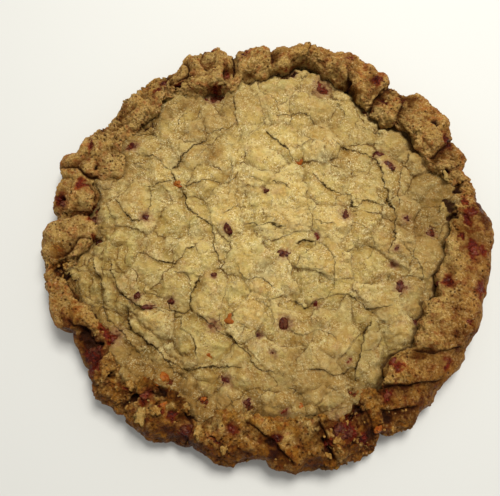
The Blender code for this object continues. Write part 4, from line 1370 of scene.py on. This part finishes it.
def surface_trees(things):
    """Search trees of pieces, for placing things on them."""
    graph = bpy.context.evaluated_depsgraph_get()
    return [BVHTree.FromObject(thing, graph) for thing in things]


def ray_hits(trees, start, way):
    """Where a ray meets each piece of the cake, and which way the surface faces there."""
    hits = [tree.ray_cast(start, way) for tree in trees]
    return [hit[:2] for hit in hits if hit[0]]


def drop_point(trees, x, y):
    """Where a point at x, y of the measurements' frame meets the cake from above."""
    above = Vector(((x - OUTLINE_MIDDLE[0]) * MM, (y - OUTLINE_MIDDLE[1]) * MM, 0.1))
    return max(ray_hits(trees, above, Vector((0, 0, -1))), key=lambda hit: hit[0].z, default=None)


def side_point(trees, angle, height):
    """Where a level line from outside towards the middle meets the cake's side."""
    way = Vector((-math.cos(math.radians(angle)), -math.sin(math.radians(angle)), 0))
    start = Vector((-OUTLINE_MIDDLE[0], -OUTLINE_MIDDLE[1], height)) * MM - way * 0.2
    return min(ray_hits(trees, start, way), key=lambda hit: (hit[0] - start).length, default=None)


def ball_points(ball):
    """The corners of a ball as an array."""
    return np.array([tuple(vert.co) for vert in ball])


def build_fruit(trees):
    """Every bit of fruit, one mesh for each kind."""
    rng = random.Random(8)
    kinds = {kind: bmesh.new() for kind in FRUIT_COLOURS}
    for number, (x, y, length, width, kind) in enumerate(FRUIT):
        place = drop_point(trees, x, y)
        if not place:
            continue
        point, _ = place
        normals = [drop_point(trees, x + dx, y + dy) for dx, dy in ((3, 0), (-3, 0), (0, 3), (0, -3))]
        normal = sum((found[1] for found in normals if found), Vector((0, 0, 1))).normalized()
        made = bmesh.ops.create_icosphere(kinds[kind], subdivisions=FRUIT_DETAIL, radius=0.5)["verts"]
        turned = rng.uniform(0, math.pi) if length < LONG_FRUIT else rng.uniform(-0.5, 0.5)
        heading = Matrix.Rotation(turned, 3, "Z")
        tilt = Vector((0, 0, 1)).rotation_difference(normal).to_matrix()
        shown = FRUIT_SHOWN_INSIDE if math.hypot(x, y) < RIM_INNER - 6 else FRUIT_SHOWN_ON_RIM
        length *= shown
        width *= shown
        thick = width * FRUIT_THICKNESS
        moved = ball_points(made) + (7.3 * number, 3.1 * number, 0)
        for vert, bulge in zip(made, 1 + layered_relief(FRUIT_SWELLS, tuple(moved.T))):
            local = Vector((vert.co.x * length, vert.co.y * width, vert.co.z * thick)) * bulge
            local.z -= thick * (0.5 - FRUIT_PROUD)
            vert.co = point + tilt @ heading @ local * MM
    pieces = []
    for kind, built in kinds.items():
        mesh = bpy.data.meshes.new("fruit_" + kind)
        built.to_mesh(mesh)
        built.free()
        mesh.shade_smooth()
        mesh.materials.append(fruit_material(kind + "_fruit", *FRUIT_COLOURS[kind]))
        pieces.append(add_object("fruit_" + kind, mesh))
    return pieces


def crumb_places(trees, rng):
    """Place, facing, size and shade of every crumb."""

    def crumb(found, size, shade):
        return found, (size, size * rng.uniform(0.5, 0.9), size * rng.uniform(0.3, 0.6)), shade

    places = []
    for middle, half, near, far, count, smallest, largest in CRUMBS:
        for _ in range(count):
            angle = math.radians(middle + half * rng.triangular(-1.2, 1.2))
            radius = rng.uniform(near, far)
            found = drop_point(trees, radius * math.cos(angle), radius * math.sin(angle))
            size = smallest + (largest - smallest) * rng.random() ** 2
            if found:
                shade = 0.62 * rng.random() + 0.38 * (rng.random() < 0.12)
                places.append(crumb(found, size, shade))
    for middle, half, low, high, count, smallest, largest in EDGE_CRUMBS:
        for _ in range(count):
            found = side_point(trees, middle + half * rng.triangular(-1.3, 1.3), rng.uniform(low, high))
            size = smallest + (largest - smallest) * rng.random() ** 2
            if found:
                shade = 0.62 * rng.random()
                places.append(crumb(found, size, shade))
    return places


def crumb_shape(shape, number, size):
    """A ragged lump or chip, in mm."""
    places = shape * np.array(size)
    moved = tuple(places[:, k] + 37.0 * number * (k + 1) for k in range(3))
    return places * (1 + layered_relief(CRUMB_SWELLS, moved))[:, None]


def spun(heading, tilt):
    """A tilt followed by a turn about the vertical."""
    return Matrix.Rotation(heading, 3, "Z") @ Matrix.Rotation(tilt, 3, "X")


def build_crumbs(trees):
    """Crumbs and flakes of the torn and crumbly stretches, in one mesh."""
    rng = random.Random(21)
    ball = bmesh.new()
    bmesh.ops.create_icosphere(ball, subdivisions=CRUMB_DETAIL, radius=0.5)
    shape = ball_points(ball.verts)
    triangles = np.array([[vert.index for vert in face.verts] for face in ball.faces])
    ball.free()
    points = []
    shades = []
    for number, ((point, normal), size, shade) in enumerate(crumb_places(trees, rng)):
        lean = Vector((0, 0, 1)).rotation_difference(normal).to_matrix()
        turn = lean @ spun(rng.uniform(0, 2 * math.pi), rng.uniform(-0.7, 0.7))
        middle = np.array(point) / MM - np.array(normal) * size[2] * CRUMB_SUNK
        points.append(crumb_shape(shape, number, size) @ np.array(turn).T + middle)
        shades.append(shade)
    for number, (degrees, radius, length, width, thick, heading, tilt, shade) in enumerate(FLAKES):
        angle = math.radians(degrees)
        found = drop_point(trees, radius * math.cos(angle), radius * math.sin(angle))
        if found:
            turn = spun(math.radians(heading), math.radians(tilt))
            middle = np.array(found[0]) / MM + np.array((0, 0, 0.2 * thick + 0.1 * width))
            flake = crumb_shape(shape, number + FLAKE_SEED, (length, width, thick))
            points.append(flake @ np.array(turn).T + middle)
            shades.append(shade)
    shift = np.arange(len(points)) * len(shape)
    faces = (triangles[None] + shift[:, None, None]).reshape(-1, 3)
    together = np.concatenate(points)
    together[:, 2] = np.maximum(together[:, 2], RIM_UNDERSIDE)
    together[:, :2] += np.array(OUTLINE_MIDDLE)
    piece = grid_mesh("crumbs", together, faces.tolist())
    add_values(piece.data, "shade", np.repeat(shades, len(shape)))
    return piece


def build_stage():
    """A plain pale floor."""
    mesh = bpy.data.meshes.new("floor")
    corners = [(x * FLOOR_HALF, y * FLOOR_HALF, 0) for x, y in ((-1, -1), (1, -1), (1, 1), (-1, 1))]
    mesh.from_pydata(corners, [], [(0, 1, 2, 3)])
    look = Look("floor")
    look.fill(look.shader.inputs["Base Color"], FLOOR_COLOUR)
    look.fill(look.shader.inputs["Roughness"], FLOOR_ROUGHNESS)
    mesh.materials.append(look.material)
    add_object("floor", mesh)


def build_light():
    """Soft light from above, stronger from the far right."""
    light = bpy.data.lights.new("key", "AREA")
    light.shape = "SQUARE"
    light.size = KEY_SIZE
    light.energy = KEY_POWER
    light.color = KEY_COLOUR
    key = add_object("key", light)
    key.location = KEY_PLACE
    key.rotation_euler = (-key.location).to_track_quat("-Z", "Y").to_euler()
    world = bpy.data.worlds.new("world")
    world.use_nodes = True
    background = world.node_tree.nodes["Background"]
    background.inputs["Color"].default_value = (*SKY_COLOUR, 1)
    background.inputs["Strength"].default_value = SKY_STRENGTH
    bpy.context.scene.world = world
    bpy.context.scene.view_settings.view_transform = "Standard"


def build_camera():
    """The camera at the photograph's place."""
    data = bpy.data.cameras.new("camera")
    data.sensor_fit = "HORIZONTAL"
    data.sensor_width = SENSOR
    data.lens = FOCAL_PIXELS / IMAGE_WIDTH * SENSOR
    data.clip_start = 0.01
    camera = add_object("camera", data)
    camera.location = (np.array(CAMERA_PLACE) - (*OUTLINE_MIDDLE, 0)) * MM
    camera.rotation_euler = (math.radians(CAMERA_TILT), 0, 0)
    bpy.context.scene.camera = camera


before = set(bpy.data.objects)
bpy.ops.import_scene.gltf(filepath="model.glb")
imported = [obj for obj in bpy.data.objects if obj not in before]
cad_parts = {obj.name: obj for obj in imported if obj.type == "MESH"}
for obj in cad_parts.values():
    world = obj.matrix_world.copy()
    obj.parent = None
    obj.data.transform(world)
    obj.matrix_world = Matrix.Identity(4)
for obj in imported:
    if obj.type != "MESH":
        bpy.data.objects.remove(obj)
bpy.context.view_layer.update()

build_camera()
build_light()
build_stage()

rims, rim_edge = build_rim()
crust = rim_material()
for piece in rims:
    piece.data.materials.append(crust)
centre = build_centre(rim_edge)
centre.data.materials.append(centre_material())
bpy.context.view_layer.update()
trees = surface_trees([centre] + rims)
fruit = build_fruit(trees)
crumbs = build_crumbs(trees)
crumbs.data.materials.append(crumb_material())

for piece in [centre, crumbs] + rims + fruit:
    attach(piece, "root")
    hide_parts("cookie")
